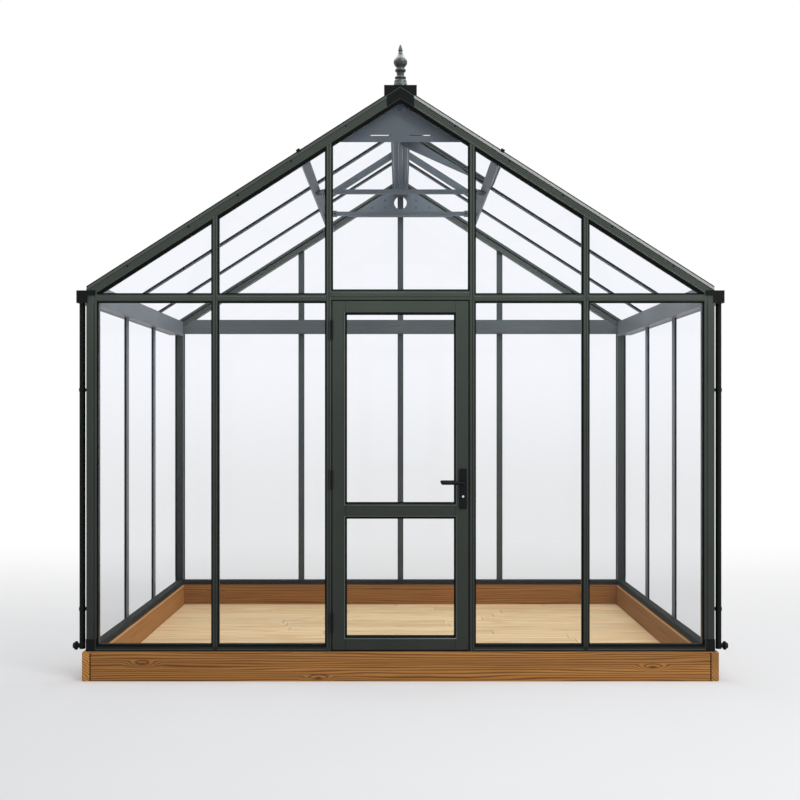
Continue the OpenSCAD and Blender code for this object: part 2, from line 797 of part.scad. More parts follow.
module front_glass() {
    zt = transom_z + transom_h - pane_in;
    zh = door_head_z + door_head_h - pane_in;
    xm = post_in - 3;
    p = rafter_pane(rafter_h);
    b = web_w / 2 + edge_gap;
    color(glass_colour) front() {
        both_sides() {
            pane(door_post_x + b, front_mullion_x - b, wall_z - pane_in, transom_z + pane_in);
            pane(front_mullion_x + b, post_in + pane_in, wall_z - pane_in, transom_z + pane_in);
            gable_pane([[door_post_x + b, zt], [front_mullion_x - b, zt],
                [front_mullion_x - b, zr(p, front_mullion_x - b)],
                [door_post_x + b, zr(p, door_post_x + b)]]);
            gable_pane([[front_mullion_x + b, zt], [xm, zt], [xm, zr(p, xm)],
                [front_mullion_x + b, zr(p, front_mullion_x + b)]]);
        }
        gable_pane([[-door_post_x + b, zh], [door_post_x - b, zh],
            [door_post_x - b, zr(p, door_post_x - b)], [0, zr(p, 0)],
            [-door_post_x + b, zr(p, door_post_x - b)]]);
    }
}

module back_glass() {
    zt = back_beam_z + back_beam_h - pane_in;
    p = rafter_pane(back_rafter_h);
    b = web_w / 2 + edge_gap;
    xm = (zr(p, 0) - zt) / pt - 8;
    color(glass_colour) back() both_sides() {
        pane(b, back_mullion_x - b, wall_z - pane_in, back_beam_z + pane_in);
        pane(back_mullion_x + b, post_in + pane_in, wall_z - pane_in, back_beam_z + pane_in);
        gable_pane([[b, zt], [back_mullion_x - b, zt],
            [back_mullion_x - b, zr(p, back_mullion_x - b)], [b, zr(p, b)]]);
        gable_pane([[back_mullion_x + b, zt], [xm, zt], [xm, zr(p, xm)],
            [back_mullion_x + b, zr(p, back_mullion_x + b)]]);
    }
}

module side_glass() {
    b = web_w / 2 + edge_gap;
    z0 = wall_z - pane_in;
    z1 = eave_beam_z + pane_in;
    color(glass_colour) both_walls() {
        pane(-side_in - pane_in, -bay - b, z0, z1);
        pane(-bay + b, bay - b, z0, z1);
        pane(bay + b, side_in + pane_in, z0, z1);
    }
}

// Roof pane on the right slope from u0 to u1 and y0 to y1
module roof_pane(u0, u1, y0, y1) {
    slope() translate([u0, y0, -cap_t - glass_fit - glass_t]) cube([u1 - u0, y1 - y0, glass_t]);
}

module roof_glass() {
    b = web_w / 2 + edge_gap;
    ye = hd - frame_t + bite - edge_gap;
    u0 = (ridge_w / 2 - bite + edge_gap + body_v * ps) / pc;
    u1 = (hw + roof_lap) / pc;
    color(glass_colour) {
        both_sides() {
            roof_pane(u0, u1, -bay + b, bay - b);
            roof_pane(u0, u1, bay + b, ye);
        }
        mirror([1, 0, 0]) roof_pane(u0, u1, -ye, -bay - b);
        roof_pane(vent_u1 - 30, u1, -ye, -bay - b);
    }
}

// Door stile with a pane slot, bored for the lever on the lock side
module door_stiles() {
    color(frame_colour) front() for (side = [-1, 1]) difference() {
        translate([side > 0 ? leaf_x - stile_w : -leaf_x, 0, leaf_z0])
            cube([stile_w, door_t, leaf_z1 - leaf_z0]);
        translate([side > 0 ? leaf_x - stile_w - 1 : -leaf_x + stile_w - bite, door_glass_v,
            leaf_z0 - 1]) cube([bite + 1, slot_t, leaf_z1 - leaf_z0 + 2]);
        if (side > 0) translate([handle_x, -1, lever_z]) rotate([-90, 0, 0])
            cylinder(r = hub_r + 2, h = door_t + 2);
    }
}

// Door rail between the stiles with its pane slots
module door_rail(z0, h, top, bottom) {
    x = leaf_x - stile_w;
    difference() {
        translate([-x, 0, z0]) cube([2 * x, door_t, h]);
        if (top) translate([-x - 1, door_glass_v, z0 + h - bite]) cube([2 * x + 2, slot_t, bite + 1]);
        if (bottom) translate([-x - 1, door_glass_v, z0 - 1]) cube([2 * x + 2, slot_t, bite + 1]);
    }
}

module door_rails() {
    color(frame_colour) front() {
        door_rail(leaf_z1 - top_rail_h, top_rail_h, false, true);
        door_rail(mid_rail_z - mid_rail_h / 2, mid_rail_h, true, true);
        door_rail(leaf_z0, bottom_rail_h, true, false);
    }
}

module door_glass() {
    e = bite - edge_gap;
    x = leaf_x - stile_w + e;
    zs = [[leaf_z0 + bottom_rail_h - e, mid_rail_z - mid_rail_h / 2 + e],
        [mid_rail_z + mid_rail_h / 2 - e, leaf_z1 - top_rail_h + e]];
    color(glass_colour) front() for (z = zs)
        translate([-x, door_glass_v + glass_fit, z[0]]) cube([2 * x, glass_t, z[1] - z[0]]);
}

// Fixed half of each hinge: lower knuckle, pin and a leaf on the door post
module door_hinges() {
    color(black_colour) front() for (z = hinge_zs) translate([hinge_x, 0, z]) {
        translate([0, hinge_v, -hinge_h / 2]) cylinder(r = knuckle_r, h = hinge_h / 2 - 0.5);
        translate([0, hinge_v, -1]) cylinder(r = pin_r, h = hinge_h / 2);
        translate([-door_gap / 2, hinge_v + 5, -hinge_h / 2])
            cube([leaf_plate_t, 30 - hinge_v, hinge_h / 2 - 0.5]);
    }
}

// Moving half of each hinge: upper knuckle bored for the pin and a leaf on the door
module hinge_knuckles() {
    color(black_colour) front() for (z = hinge_zs) translate([hinge_x, 0, z]) difference() {
        union() {
            translate([0, hinge_v, 0]) cylinder(r = knuckle_r, h = hinge_h / 2);
            translate([door_gap / 2 - leaf_plate_t, hinge_v + 5, 0])
                cube([leaf_plate_t, 30 - hinge_v, hinge_h / 2]);
        }
        translate([0, hinge_v, -1]) cylinder(r = pin_r + pin_fit, h = hinge_h / 2 + 2);
    }
}

// Long plate behind the lever on each face of the door
module handle_plates() {
    color(black_colour) front() for (v = [-plate_t, door_t]) difference() {
        translate([handle_x - plate_w / 2, v, plate_z]) cube([plate_w, plate_t, plate_h]);
        translate([handle_x, v - 1, lever_z]) rotate([-90, 0, 0])
            cylinder(r = hub_r + hub_fit, h = plate_t + 2);
    }
}

// Lever on both faces of the door, joined by its spindle
module lever_handle() {
    grip_r = 9;
    color(black_colour) front() translate([handle_x, 0, lever_z]) {
        translate([0, -lever_out, 0]) rotate([-90, 0, 0])
            cylinder(r = hub_r, h = 2 * lever_out + door_t);
        for (v = [-lever_out, door_t + lever_out]) {
            translate([0, v, 0]) rotate([0, -90, 0]) cylinder(r = grip_r, h = lever_l - grip_r);
            translate([-lever_l + grip_r, v, 0]) sphere(r = grip_r);
            translate([0, v, 0]) sphere(r = hub_r);
        }
    }
}

base_front_beam();
base_back_beam();
base_left_beam();
base_right_beam();
floor_deck();
front_sill();
back_sill();
side_sills();
door_threshold();
corner_posts();
post_feet();
front_mullions();
door_posts();
front_transom();
door_head();
back_mullions();
back_eave_beam();
side_mullions();
eave_beams();
gutters();
gutter_end_caps();
downpipes();
pipe_clips();
front_rafters();
back_rafters();
apex_plates();
ridge_beam();
ridge_end_boxes();
finials();
roof_bars();
purlins();
collar_ties();
jack_rafters();
front_gusset();
back_gusset();
vent_frame();
vent_crossbars();
vent_opener();
front_glass();
back_glass();
side_glass();
roof_glass();
vent_glass();
door_stiles();
door_rails();
door_glass();
door_hinges();
hinge_knuckles();
handle_plates();
lever_handle();
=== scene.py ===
# %% [markdown]
# # A glass greenhouse, dressed
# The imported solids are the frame, the panes, the base and the door, already in
# their places. This lesson gives them their finishes and adds what solids leave
# out: floor boards, glazing seals, ribs, screws and small fittings. Every value
# is in metres, with X across the gable, Y running back from the door and Z up.

# %% Load the solids
import bmesh
import bpy
import json
import numpy as np
from functools import partial
from mathutils import Matrix, Vector


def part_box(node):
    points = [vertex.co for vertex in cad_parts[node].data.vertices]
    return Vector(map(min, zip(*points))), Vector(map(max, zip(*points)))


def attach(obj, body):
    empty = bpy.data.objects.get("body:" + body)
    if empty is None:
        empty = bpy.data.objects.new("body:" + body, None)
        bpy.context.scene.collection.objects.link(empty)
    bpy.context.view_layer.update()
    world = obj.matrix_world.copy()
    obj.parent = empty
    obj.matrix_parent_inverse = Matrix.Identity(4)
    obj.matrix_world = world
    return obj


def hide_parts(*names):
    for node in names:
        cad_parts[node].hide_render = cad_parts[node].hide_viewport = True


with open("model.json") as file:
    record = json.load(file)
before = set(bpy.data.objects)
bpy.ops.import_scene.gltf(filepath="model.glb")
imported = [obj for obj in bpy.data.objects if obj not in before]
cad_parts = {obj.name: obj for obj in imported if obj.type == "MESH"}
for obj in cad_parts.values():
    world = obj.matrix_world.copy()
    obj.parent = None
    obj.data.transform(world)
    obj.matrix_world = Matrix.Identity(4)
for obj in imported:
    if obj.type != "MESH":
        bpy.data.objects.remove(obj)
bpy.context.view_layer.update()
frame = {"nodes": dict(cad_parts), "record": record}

# %% [markdown]
# ## Working measures
# A new piece has to sit on the solid that carries it, so the main lines of the
# frame are read from the boxes of the solids. Only the slope of the roof, the lines
# of the bars and the small steps of the glazing, which no box shows, are written out.

# %% Measures of the frame
MM = 0.001
post_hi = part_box("corner_posts")[1]
half_w, half_d = post_hi.x, post_hi.y
base_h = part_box("base_front_beam")[1].z
slope, EAVE_LINE = np.radians(32.6), 2.1666
sin_s, cos_s, tan_s = np.sin(slope), np.cos(slope), np.tan(slope)
ridge_z = EAVE_LINE + tan_s * half_w
LET_IN = 0.4 * MM
CAP, GLASS_V, SEAL, RAFTER_SEAL = 8 * MM, 8.5 * MM, 9 * MM, 17 * MM
POST_SEAL, SILL_SEAL, SIDE_SEAL = 14 * MM, 13 * MM, 5 * MM
RAFTER_CAP, BACK_CAP, BAR_CAP, POST_CAP = 62 * MM, 52 * MM, 13 * MM, 51 * MM
FRONT_BAR, BACK_BAR, DOOR_POST, SIDE_BAR = 1.019, 0.762, 0.3935, 0.375
ROOF_DROP = 14 * MM
SILL_LIP, TRANSOM_LIP, TRANSOM_TOP, HEAD_TOP = 0.185, 2.084, 2.120, 2.141
BACK_LIP, BACK_TOP = 2.091, 2.179
EAVE_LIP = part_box("eave_beams")[0].z + SEAL
SIDES, side_lines = (-1, 1), (-SIDE_BAR, SIDE_BAR)


def roof_z(below, x):
    """Height of the roof at distance x from the middle: the ridge height, less the
    depth below the surface divided by the cosine, less x times the tangent."""
    return ridge_z - below / cos_s - tan_s * np.abs(x)


def bays(start, bars, end):
    """Openings from a start to an end that bars divide: each bar covers its cap on both
    sides of its line."""
    edges = [start, *(bar + side * BAR_CAP for bar in bars for side in SIDES), end]
    return list(zip(edges[::2], edges[1::2]))


front_bays = bays(DOOR_POST + BAR_CAP, [FRONT_BAR], half_w - POST_CAP)
back_bays = bays(BAR_CAP, [BACK_BAR], half_w - POST_CAP)
side_bays = bays(-half_d + POST_CAP, side_lines, half_d - POST_CAP)
print("half width", half_w, "half depth", half_d, "ridge", round(ridge_z, 4))

# %% [markdown]
# ## From arrays to objects
# Blender can build a mesh from two arrays: the corners, and the faces as rows of
# corner numbers. Primitive cubes would be quicker to add, but a surface worked
# out as a grid of points keeps its place in the mesh and its object at the
# origin, just as the solids do.

# %% Grids and meshes
def grid_faces(rows, cols, round_rows=False, round_cols=False):
    """Quads of a grid of rows by cols points: each quad joins a point, the next in
    its row and the two below them. A closed direction joins the last to the first."""
    r = np.arange(rows if round_rows else rows - 1)[:, None]
    c = np.arange(cols if round_cols else cols - 1)[None, :]
    r1, c1 = (r + 1) % rows, (c + 1) % cols
    corners = r * cols + c, r1 * cols + c, r1 * cols + c1, r * cols + c1
    return np.stack(np.broadcast_arrays(*corners), -1).reshape(-1, 4)


def together(parts):
    """Several point and face lists as one: the corner numbers of each part are raised by
    the points before it."""
    points, faces, start = [], [], 0
    for some_points, some_faces in parts:
        points.append(some_points)
        faces += [[start + int(i) for i in face] for face in some_faces]
        start += len(some_points)
    return np.concatenate(points), faces


def outward(mesh):
    """Turns all faces of closed shells to point out, by Blender's own rule."""
    shell = bmesh.new()
    shell.from_mesh(mesh)
    bmesh.ops.remove_doubles(shell, verts=shell.verts, dist=1e-6)
    bmesh.ops.recalc_face_normals(shell, faces=shell.faces)
    shell.to_mesh(mesh)
    shell.free()


made = {}


def add_piece(name, parts, finish, slot, body="greenhouse", smooth=False):
    """Mesh object at the origin, made of several point and face lists, with one finish
    and riding on one body of the frame."""
    points, faces = together(parts)
    mesh = bpy.data.meshes.new(name)
    mesh.from_pydata(points.tolist(), [], faces)
    outward(mesh)
    mesh.materials.append(finish)
    mesh.polygons.foreach_set("use_smooth", np.full(len(mesh.polygons), smooth))
    piece = bpy.data.objects.new(name, mesh)
    bpy.context.scene.collection.objects.link(piece)
    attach(piece, body)
    made[name] = len(mesh.polygons)
    print(name, len(mesh.polygons), "faces")
    return piece


# %% [markdown]
# ## Where a wall lies
# Seals and ribs are drawn flat, as they would be on a bench, and then carried to
# their wall. A wall's own frame has x along it, z up and v inward from the outer
# face, so one drawing serves the front, the back and both sides.

# %% Wall frames
def spots(x, y, z):
    """Points from three arrays of coordinates, spread to one shape."""
    return np.stack(np.broadcast_arrays(x, y, z), -1)


def on_gable(sign):
    """Front wall for -1 and back wall for 1: v runs in along Y from its outer face."""
    return lambda x, z, v: spots(x, sign * (half_d - v), z)


def on_side(sign):
    """Left wall for -1 and right wall for 1: x runs along Y, and v runs in along X."""
    return lambda x, z, v: spots(sign * (half_w - v), x, z)


def on_roof(side):
    """Roof slope of one side: x runs along Y, z runs down the slope from the ridge
    line, and v runs square into the slope from its surface."""
    return lambda x, z, v: spots(side * (z * cos_s - v * sin_s), x,
                                 ridge_z - z * sin_s - v * cos_s)


on_front, on_back, on_left, on_right = on_gable(-1), on_gable(1), on_side(-1), on_side(1)
print("wall frames: front, back, right, left and two roof slopes")

# %% [markdown]
# ## A recipe for finishes
# Every finish is a small tree of nodes. Written out node by node it is long and hard
# to read, so a recipe gives each usual step a short name. It takes plain values and
# the outputs of other nodes alike, and works for materials and for the world.

# %% Recipe
CLOUDS = 2.3


def linear(r, g, b):
    """Linear colour of a shade written as 0 to 255 on a screen."""
    s = np.array([r, g, b]) / 255.0
    return (*np.where(s <= 0.04045, s / 12.92, ((s + 0.055) / 1.055) ** 2.4).tolist(), 1.0)


class Recipe:
    """Node tree in the making, of a material or of the world. A value may be a plain
    number or colour, or the output of another node."""

    def __init__(self, owner):
        owner.use_nodes = True
        self.owner, self.nodes = owner, owner.node_tree.nodes
        self.join = owner.node_tree.links.new

    def fill(self, node, *values, **named):
        """Puts values on a node's inputs, in turn or by name, with _ for a space."""
        pairs = [*zip(node.inputs, values)]
        pairs += [(node.inputs[key.replace("_", " ")], value) for key, value in named.items()]
        for socket, value in pairs:
            if isinstance(value, bpy.types.NodeSocket):
                self.join(value, socket)
            else:
                socket.default_value = value
        return node.outputs

    def add(self, kind, *values, options=(), **named):
        """Outputs of a new node of a kind, with its options set and its inputs filled."""
        node = self.nodes.new("ShaderNode" + kind)
        for key, option in dict(options).items():
            setattr(node, key, option)
        return self.fill(node, *values, **named)

    def shade(self, **named):
        """Puts values on the main shader."""
        return self.fill(self.nodes["Principled BSDF"], **named)[0]

    def place(self, scale=(1, 1, 1)):
        """Object coordinates stretched by a scale for each axis."""
        return self.add("Mapping", Vector=self.add("TexCoord")["Object"], Scale=scale)[0]

    def axis(self, name):
        """One of the object coordinates."""
        return self.add("SeparateXYZ", self.add("TexCoord")["Object"])[name]

    def maths(self, operation, *values):
        """Result of a sum on one, two or three numbers."""
        return self.add("Math", *values, options={"operation": operation})[0]

    def vector(self, operation, *values, **named):
        """Outputs of a sum on vectors."""
        return self.add("VectorMath", *values, options={"operation": operation}, **named)

    def noise(self, vector, size, detail=3.0, rough=0.55, distortion=0.0):
        """Noise of so many waves a metre on a vector, as a number from 0 to 1."""
        return self.add("TexNoise", Vector=vector, Scale=size, Detail=detail, Roughness=rough,
                        Distortion=distortion)["Fac"]

    def ranged(self, value, start, end, low=0.0, high=1.0, smooth=False):
        """Number that goes from low to high as the value goes from start to end."""
        options = {"interpolation_type": "SMOOTHSTEP"} if smooth else ()
        return self.add("MapRange", value, start, end, low, high, options=options)[0]

    def ramp(self, factor, stops):
        """Colour that runs straight from stop to stop; stops pair a factor and a colour."""
        node = self.nodes.new("ShaderNodeValToRGB")
        band = node.color_ramp.elements
        while len(band) < len(stops):
            band.new(0.5)
        for stop, (at, colour) in zip(band, stops):
            stop.position, stop.color = at, colour
        return self.fill(node, factor)[0]

    def clouded(self, vector, dark, light):
        """Two screen shades mixed by a slow noise."""
        shades = [(0.3, linear(*dark)), (0.7, linear(*light))]
        return self.ramp(self.noise(vector, CLOUDS, 4.0), shades)

    def mixed(self, first, second, factor=1.0, blend="MIX"):
        """Second colour laid on the first by a factor."""
        options = {"data_type": "RGBA", "blend_type": blend}
        return self.add("Mix", options=options, Factor=factor, A=first, B=second)["Result"]

    def bump(self, height, strength, distance):
        """Normal that a height bends."""
        return self.add("Bump", Strength=strength, Distance=distance, Height=height)["Normal"]

    def by_height(self, colour, stops):
        """Colour times a grey that follows the height: stops are pairs of a height in
        metres and a grey, and the grey runs straight from one to the next."""
        heights, greys = np.asarray(stops, float).T
        places = (heights - heights[0]) / (heights[-1] - heights[0])
        share = self.ranged(self.axis("Z"), heights[0], heights[-1])
        band = [(at, (grey, grey, grey, 1)) for at, grey in zip(places, greys)]
        return self.mixed(colour, self.ramp(share, band), 1.0, "MULTIPLY")

    def seen(self):
        """1 for rays from the camera, in mirrors and through glass, and otherwise 0."""
        light = self.add("LightPath")
        direct = self.maths("MAXIMUM", light["Is Camera Ray"], light["Is Glossy Ray"])
        return self.maths("MAXIMUM", direct, light["Is Transmission Ray"])

    def surface(self, share, first, second, output="Material Output"):
        """Sends two shaders to the output, the second by a share."""
        both = self.add("MixShader", share, first, second)[0]
        self.join(both, self.nodes[output].inputs["Surface"])


def new_finish(name):
    """Recipe of a new material."""
    return Recipe(bpy.data.materials.new(name))


print("recipe ready")

# %% [markdown]
# ## Painted aluminium
# The frame is dark green powder coat, satin, with a fine orange-peel skin. A flat
# colour would look like card. Three noises at different sizes give slow shade
# changes along the bars, the peel in the bump, and an uneven gloss. Painted light
# makes the paint darker towards the ground and lighter near the top, and the finial
# has painted shade and light in bands of its own by height.

# %% Painted and moulded finishes
SMEARS, PEEL, PEEL_DEPTH = 46.0, 700.0, 0.6 * MM
SATIN = (0.36, 0.50)
green = (45, 52, 46), (53, 60, 54)


def coated(name, dark, light, gloss, peel, shine=0.3, metal=0.0, stops=None):
    """Coated surface: two shades mixed by a slow noise, gloss by a middle noise, and
    a fine noise as bump; stops make it lighter or darker by height."""
    mix = new_finish(name)
    where = mix.place()
    colour = mix.clouded(where, dark, light)
    mix.shade(Base_Color=mix.by_height(colour, stops) if stops else colour,
              Roughness=mix.ranged(mix.noise(where, SMEARS), 0, 1, *gloss),
              Normal=mix.bump(mix.noise(where, PEEL, 2.0), peel, PEEL_DEPTH),
              Metallic=metal, Specular_IOR_Level=shine)
    return mix.owner


def painted_light_inside(name, across, edge, inside):
    """Beam coated in two shades, both clouded by a slow noise: the frame's green, and on
    the inner side a lighter grey that is painted light. The measure is the sum of the
    distances from the middle along X, Y and Z times the three numbers of across; the inner
    shade is where it is less than an edge, the green of the frame beyond."""
    mix = new_finish(name)
    where = mix.place()
    measure = mix.vector("DOT_PRODUCT", mix.vector("ABSOLUTE", where)["Vector"], across)["Value"]
    beyond = mix.maths("GREATER_THAN", measure, edge)
    colour = mix.mixed(mix.clouded(where, *inside), mix.clouded(where, *green), beyond)
    mix.shade(Base_Color=colour, Roughness=mix.ranged(mix.noise(where, SMEARS), 0, 1, *SATIN),
              Specular_IOR_Level=0.3)
    return mix.owner


# Painted light: lighter greys for the inside of the house, in place of the sky light that reaches
# it through the roof and the haze of the panes.
painted_light_grey = (80, 88, 93), (92, 100, 106)
# Painted light by height: the frame paint is darker towards the ground and lighter near the top,
# as light falls from above.
painted_light_by_height = [(0.2, 0.48), (1.0, 0.74), (1.75, 1.0), (2.05, 1.40), (3.3, 1.40)]
finial_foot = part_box("finials")[0].z
# Painted shade and light on the finial: dark under each swelling and light on its tops.
painted_finial_shade = [(finial_foot + h * MM, grey) for h, grey in (
    (0, 1.5), (30, 1.3), (43, 0.35), (48, 0.3), (56, 0.8), (64, 1.2), (70, 0.5), (82, 0.7),
    (88, 0.25), (97, 0.7), (106, 1.3), (112, 0.35), (124, 0.3), (140, 0.6), (158, 1.2),
    (178, 1.3), (203, 0.7), (207, 0.4), (216, 1.1), (243, 1.4))]
green_paint = coated("green_powder_coat", *green, SATIN, 0.05, stops=painted_light_by_height)
sill_paint = coated("dull_sill_coat", (30, 35, 31), (38, 43, 39), (0.60, 0.75), 0.04, 0.10)
# Painted light: the inner members' lighter grey stands in for sky light through the roof.
inner_painted_light = coated("inner_painted_light_coat", *painted_light_grey, (0.40, 0.55), 0.04)
bead_paint = coated("bright_bead", (50, 57, 51), (56, 63, 57), (0.20, 0.28), 0.02, 0.6)
# Painted light: a cool blue grey on the ridge ribs, in place of the cool sky light on the ridge's
# underside.
ridge_painted_light = coated("ridge_bead_painted_light", (70, 88, 106), (82, 100, 120), (0.22, 0.30), 0.02, 0.6)
black_plastic = coated("black_moulding", (10, 12, 12), (16, 18, 18), (0.42, 0.58), 0.08, 0.12)
black_metal = coated("black_hardware", (13, 16, 18), (19, 23, 25), (0.30, 0.42), 0.04, 0.10)
finial_metal = coated("weathered_finial_painted_shade", (52, 62, 57), (70, 80, 75), (0.24, 0.36), 0.05, 0.5,
                      stops=painted_finial_shade)
steel = coated("brushed_steel", (206, 208, 210), (222, 224, 226), (0.22, 0.35), 0.04, 0.5, 1.0)
seal_rubber = coated("seal_rubber", (7, 8, 8), (12, 13, 13), (0.60, 0.80), 0.05, 0.08)
joint_shade = coated("joint_shade", (44, 25, 11), (54, 31, 14), (0.7, 0.85), 0.04, 0.05)
arris_wood = coated("pale_arris_strip", (206, 164, 110), (222, 182, 128), (0.45, 0.6), 0.05, 0.2)
print("coated finishes: paints, black plastic and metal, finial, steel, rubber, timber edges")

# %% [markdown]
# ## Sawn timber and pale boards
# The base is warm brown softwood and the floor pale pine. Grain is made from the
# contour lines of one smooth noise that is stretched along the board. On the beams
# the noise rides on a slope, so the lines run straight and only sway, and a knot is
# a small hill that they bend round. Fine fibre lines and slow tones go on top.

# %% Wood finish
ALONG, SIDEWAYS, LEVEL_RISE, LEVEL_DEPTH, SWAY = 0.8, 0.15, 5.2, 3.0, 0.26
KNOT_RUN, KNOT_RISE, KNOT_LOW, KNOT_REACH, KNOT_LIFT = 1.15, 5.2, 0.42, 0.14, 0.22
FIBRE_LONG, FIBRE_FINE, BOARD_SHIFT = 5.0, 30.0, 37.0
KNOT_CORE = linear(78, 46, 22)


def knots(mix, run):
    """Distance from the nearest knot on a face: a flat cell pattern over the length
    and the height of the beam, with cells about a metre long."""
    height = mix.maths("SUBTRACT", mix.maths("MULTIPLY", mix.axis("Z"), KNOT_RISE), KNOT_LOW)
    face = mix.add("CombineXYZ", mix.maths("MULTIPLY", mix.axis(run), KNOT_RUN), height)[0]
    options = {"voronoi_dimensions": "2D"}
    return mix.add("TexVoronoi", options=options, Vector=face, Scale=1.0)["Distance"]


def wood(name, run, shades, across, lines, gloss, board_tone=False):
    """Wood in three screen shades from dark to light. The shade follows the sine of a
    stretched noise times a line count, so each line is a contour of the noise. On beams a
    slope is added, which draws the lines out straight, and a knot lifts it, which bends
    them round an eye. Fibres darken the whole."""
    mix, long_x = new_finish(name), run == "X"
    tones = [(at, linear(*shade)) for at, shade in zip((0.0, 0.30, 1.0), shades)]
    grain = mix.place((ALONG, across, across) if long_x else (SIDEWAYS * across, ALONG, across))
    if board_tone:
        tone = mix.add("Attribute", options={"attribute_name": "board_tone"})
        shift = mix.vector("SCALE", tone["Vector"], Scale=BOARD_SHIFT)["Vector"]
        grain = mix.vector("ADD", grain, shift)["Vector"]
        patches = mix.ramp(tone["Fac"],
                           [(0.0, (0.88, 0.86, 0.83, 1)), (1.0, (1.06, 1.06, 1.06, 1))])
    else:
        patches = mix.ramp(mix.noise(grain, 0.55, 2.0),
                           [(0.3, (0.78, 0.74, 0.70, 1)), (0.7, (1.1, 1.1, 1.08, 1))])
    field = mix.noise(grain, 1.0, 2.0, 0.4, 0.2)
    if not board_tone:
        rise = (0.0, LEVEL_DEPTH, LEVEL_RISE) if long_x else (LEVEL_DEPTH, 0.0, LEVEL_RISE)
        level = mix.vector("DOT_PRODUCT", mix.place(), rise)["Value"]
        distance = knots(mix, run)
        eye = mix.ranged(distance, 0.0, KNOT_REACH, KNOT_LIFT, 0.0, smooth=True)
        field = mix.maths("ADD", mix.maths("MULTIPLY_ADD", field, SWAY, level), eye)
    wave = mix.maths("SINE", mix.maths("MULTIPLY", field, lines))
    figure = mix.ramp(mix.ranged(wave, -1.0, 1.0), tones)
    fine = (FIBRE_LONG, FIBRE_FINE, FIBRE_FINE) if long_x else (FIBRE_FINE, FIBRE_LONG, FIBRE_FINE)
    fibre = mix.noise(mix.vector("MULTIPLY", grain, fine)["Vector"], 1.0, 4.0, 0.7)
    fibres = mix.ramp(fibre, [(0.32, (0.5, 0.45, 0.4, 1)), (0.62, (1.15, 1.15, 1.15, 1))])
    colour = mix.mixed(mix.mixed(figure, fibres, 0.5, "MULTIPLY"), patches, 1.0, "MULTIPLY")
    if not board_tone:
        core = mix.ranged(distance, 0.012, 0.05, 0.85, 0.0, smooth=True)
        colour = mix.mixed(colour, KNOT_CORE, core)
    mix.shade(Base_Color=colour, Roughness=mix.ranged(fibre, 0, 1, gloss, gloss + 0.18),
              Specular_IOR_Level=0.25, Normal=mix.bump(fibre, 0.2, 0.8 * MM))
    return mix.owner


beam = partial(wood, across=22.0, lines=88.0, gloss=0.55)
beam_across = beam("timber_across", "X", ((112, 67, 27), (154, 105, 52), (174, 124, 66)))
beam_far = beam("timber_far", "X", ((112, 66, 24), (154, 103, 45), (174, 122, 57)))
# Painted light: the left beam is lighter and the right beam darker, as the lamps on the right
# light the left beam's inner face and leave the right one's in shade.
beam_left_painted_lit = beam("timber_left", "Y", ((134, 83, 36), (185, 129, 66), (209, 154, 85)))
beam_right_painted_shade = beam("timber_right", "Y", ((112, 69, 30), (155, 108, 55), (175, 129, 71)))
pine = (239, 202, 148), (250, 217, 166), (253, 227, 181)
floor_pine = wood("pine_boards", "X", pine, 12.0, 40.0, 0.5, board_tone=True)
print("wood finishes: four beams and", floor_pine.name)

# %% [markdown]
# ## Clear glass
# The panes are thin and clear with a slight blue cast. A full glass shader would
# bend light twice in every pane, stop the lamps and mirror the far side strongly on
# the slanting roof. A pane this thin is better shown as a tinted clear film with a
# small, steady share of mirror in it, which also lets lamplight into the house.

# %% Glass finish
SHADE_FROM, SHADE_TO, MIRROR_SHARE = 0.78, 1.9, 0.012


def pane_glass(name, tint, low_shade, mirror, share):
    """Clear film mixed with a small share of mirror; a slow noise smears the mirror, and
    the film greys a little from head height down to the sill, as painted shade."""
    mix = new_finish(name)
    shine = mix.shade(Base_Color=mirror, Metallic=1.0,
                      Roughness=mix.ranged(mix.noise(mix.place(), 1.7), 0, 1, 0.01, 0.09))
    height = mix.ranged(mix.axis("Z"), SHADE_FROM, SHADE_TO, smooth=True)
    clear = mix.add("BsdfTransparent", Color=mix.ramp(height, [(0.0, low_shade), (1.0, tint)]))[0]
    mix.surface(share, clear, shine)
    return mix.owner


# The second tint is the painted shade of the lower panes.
clear_glass = pane_glass("clear_glass", (0.981, 0.985, 0.996, 1), (0.949, 0.950, 0.952, 1),
                         (0.66, 0.71, 0.82, 1), MIRROR_SHARE)
print("glass finish:", clear_glass.name)

# %% [markdown]
# ## Finishes on the solids
# The imported solids are shown as they are, so each one only needs its finish. The
# record sorts them by material, which keeps this list short. Members that show grey
# inside the house and green outside it get a lighter grey on their inner side, and the
# gussets, ties, jack rafters, purlins and vent opener get it all over: painted light
# that stands in for the sky lighting them through the roof and the haze of the panes.

# %% Dress the solids
by_slot = {
    "painted aluminium": green_paint, "black plastic": black_plastic, "black metal": black_metal,
    "finial metal": finial_metal, "clear glass": clear_glass, "base timber": beam_across,
    "floor wood": floor_pine,
}
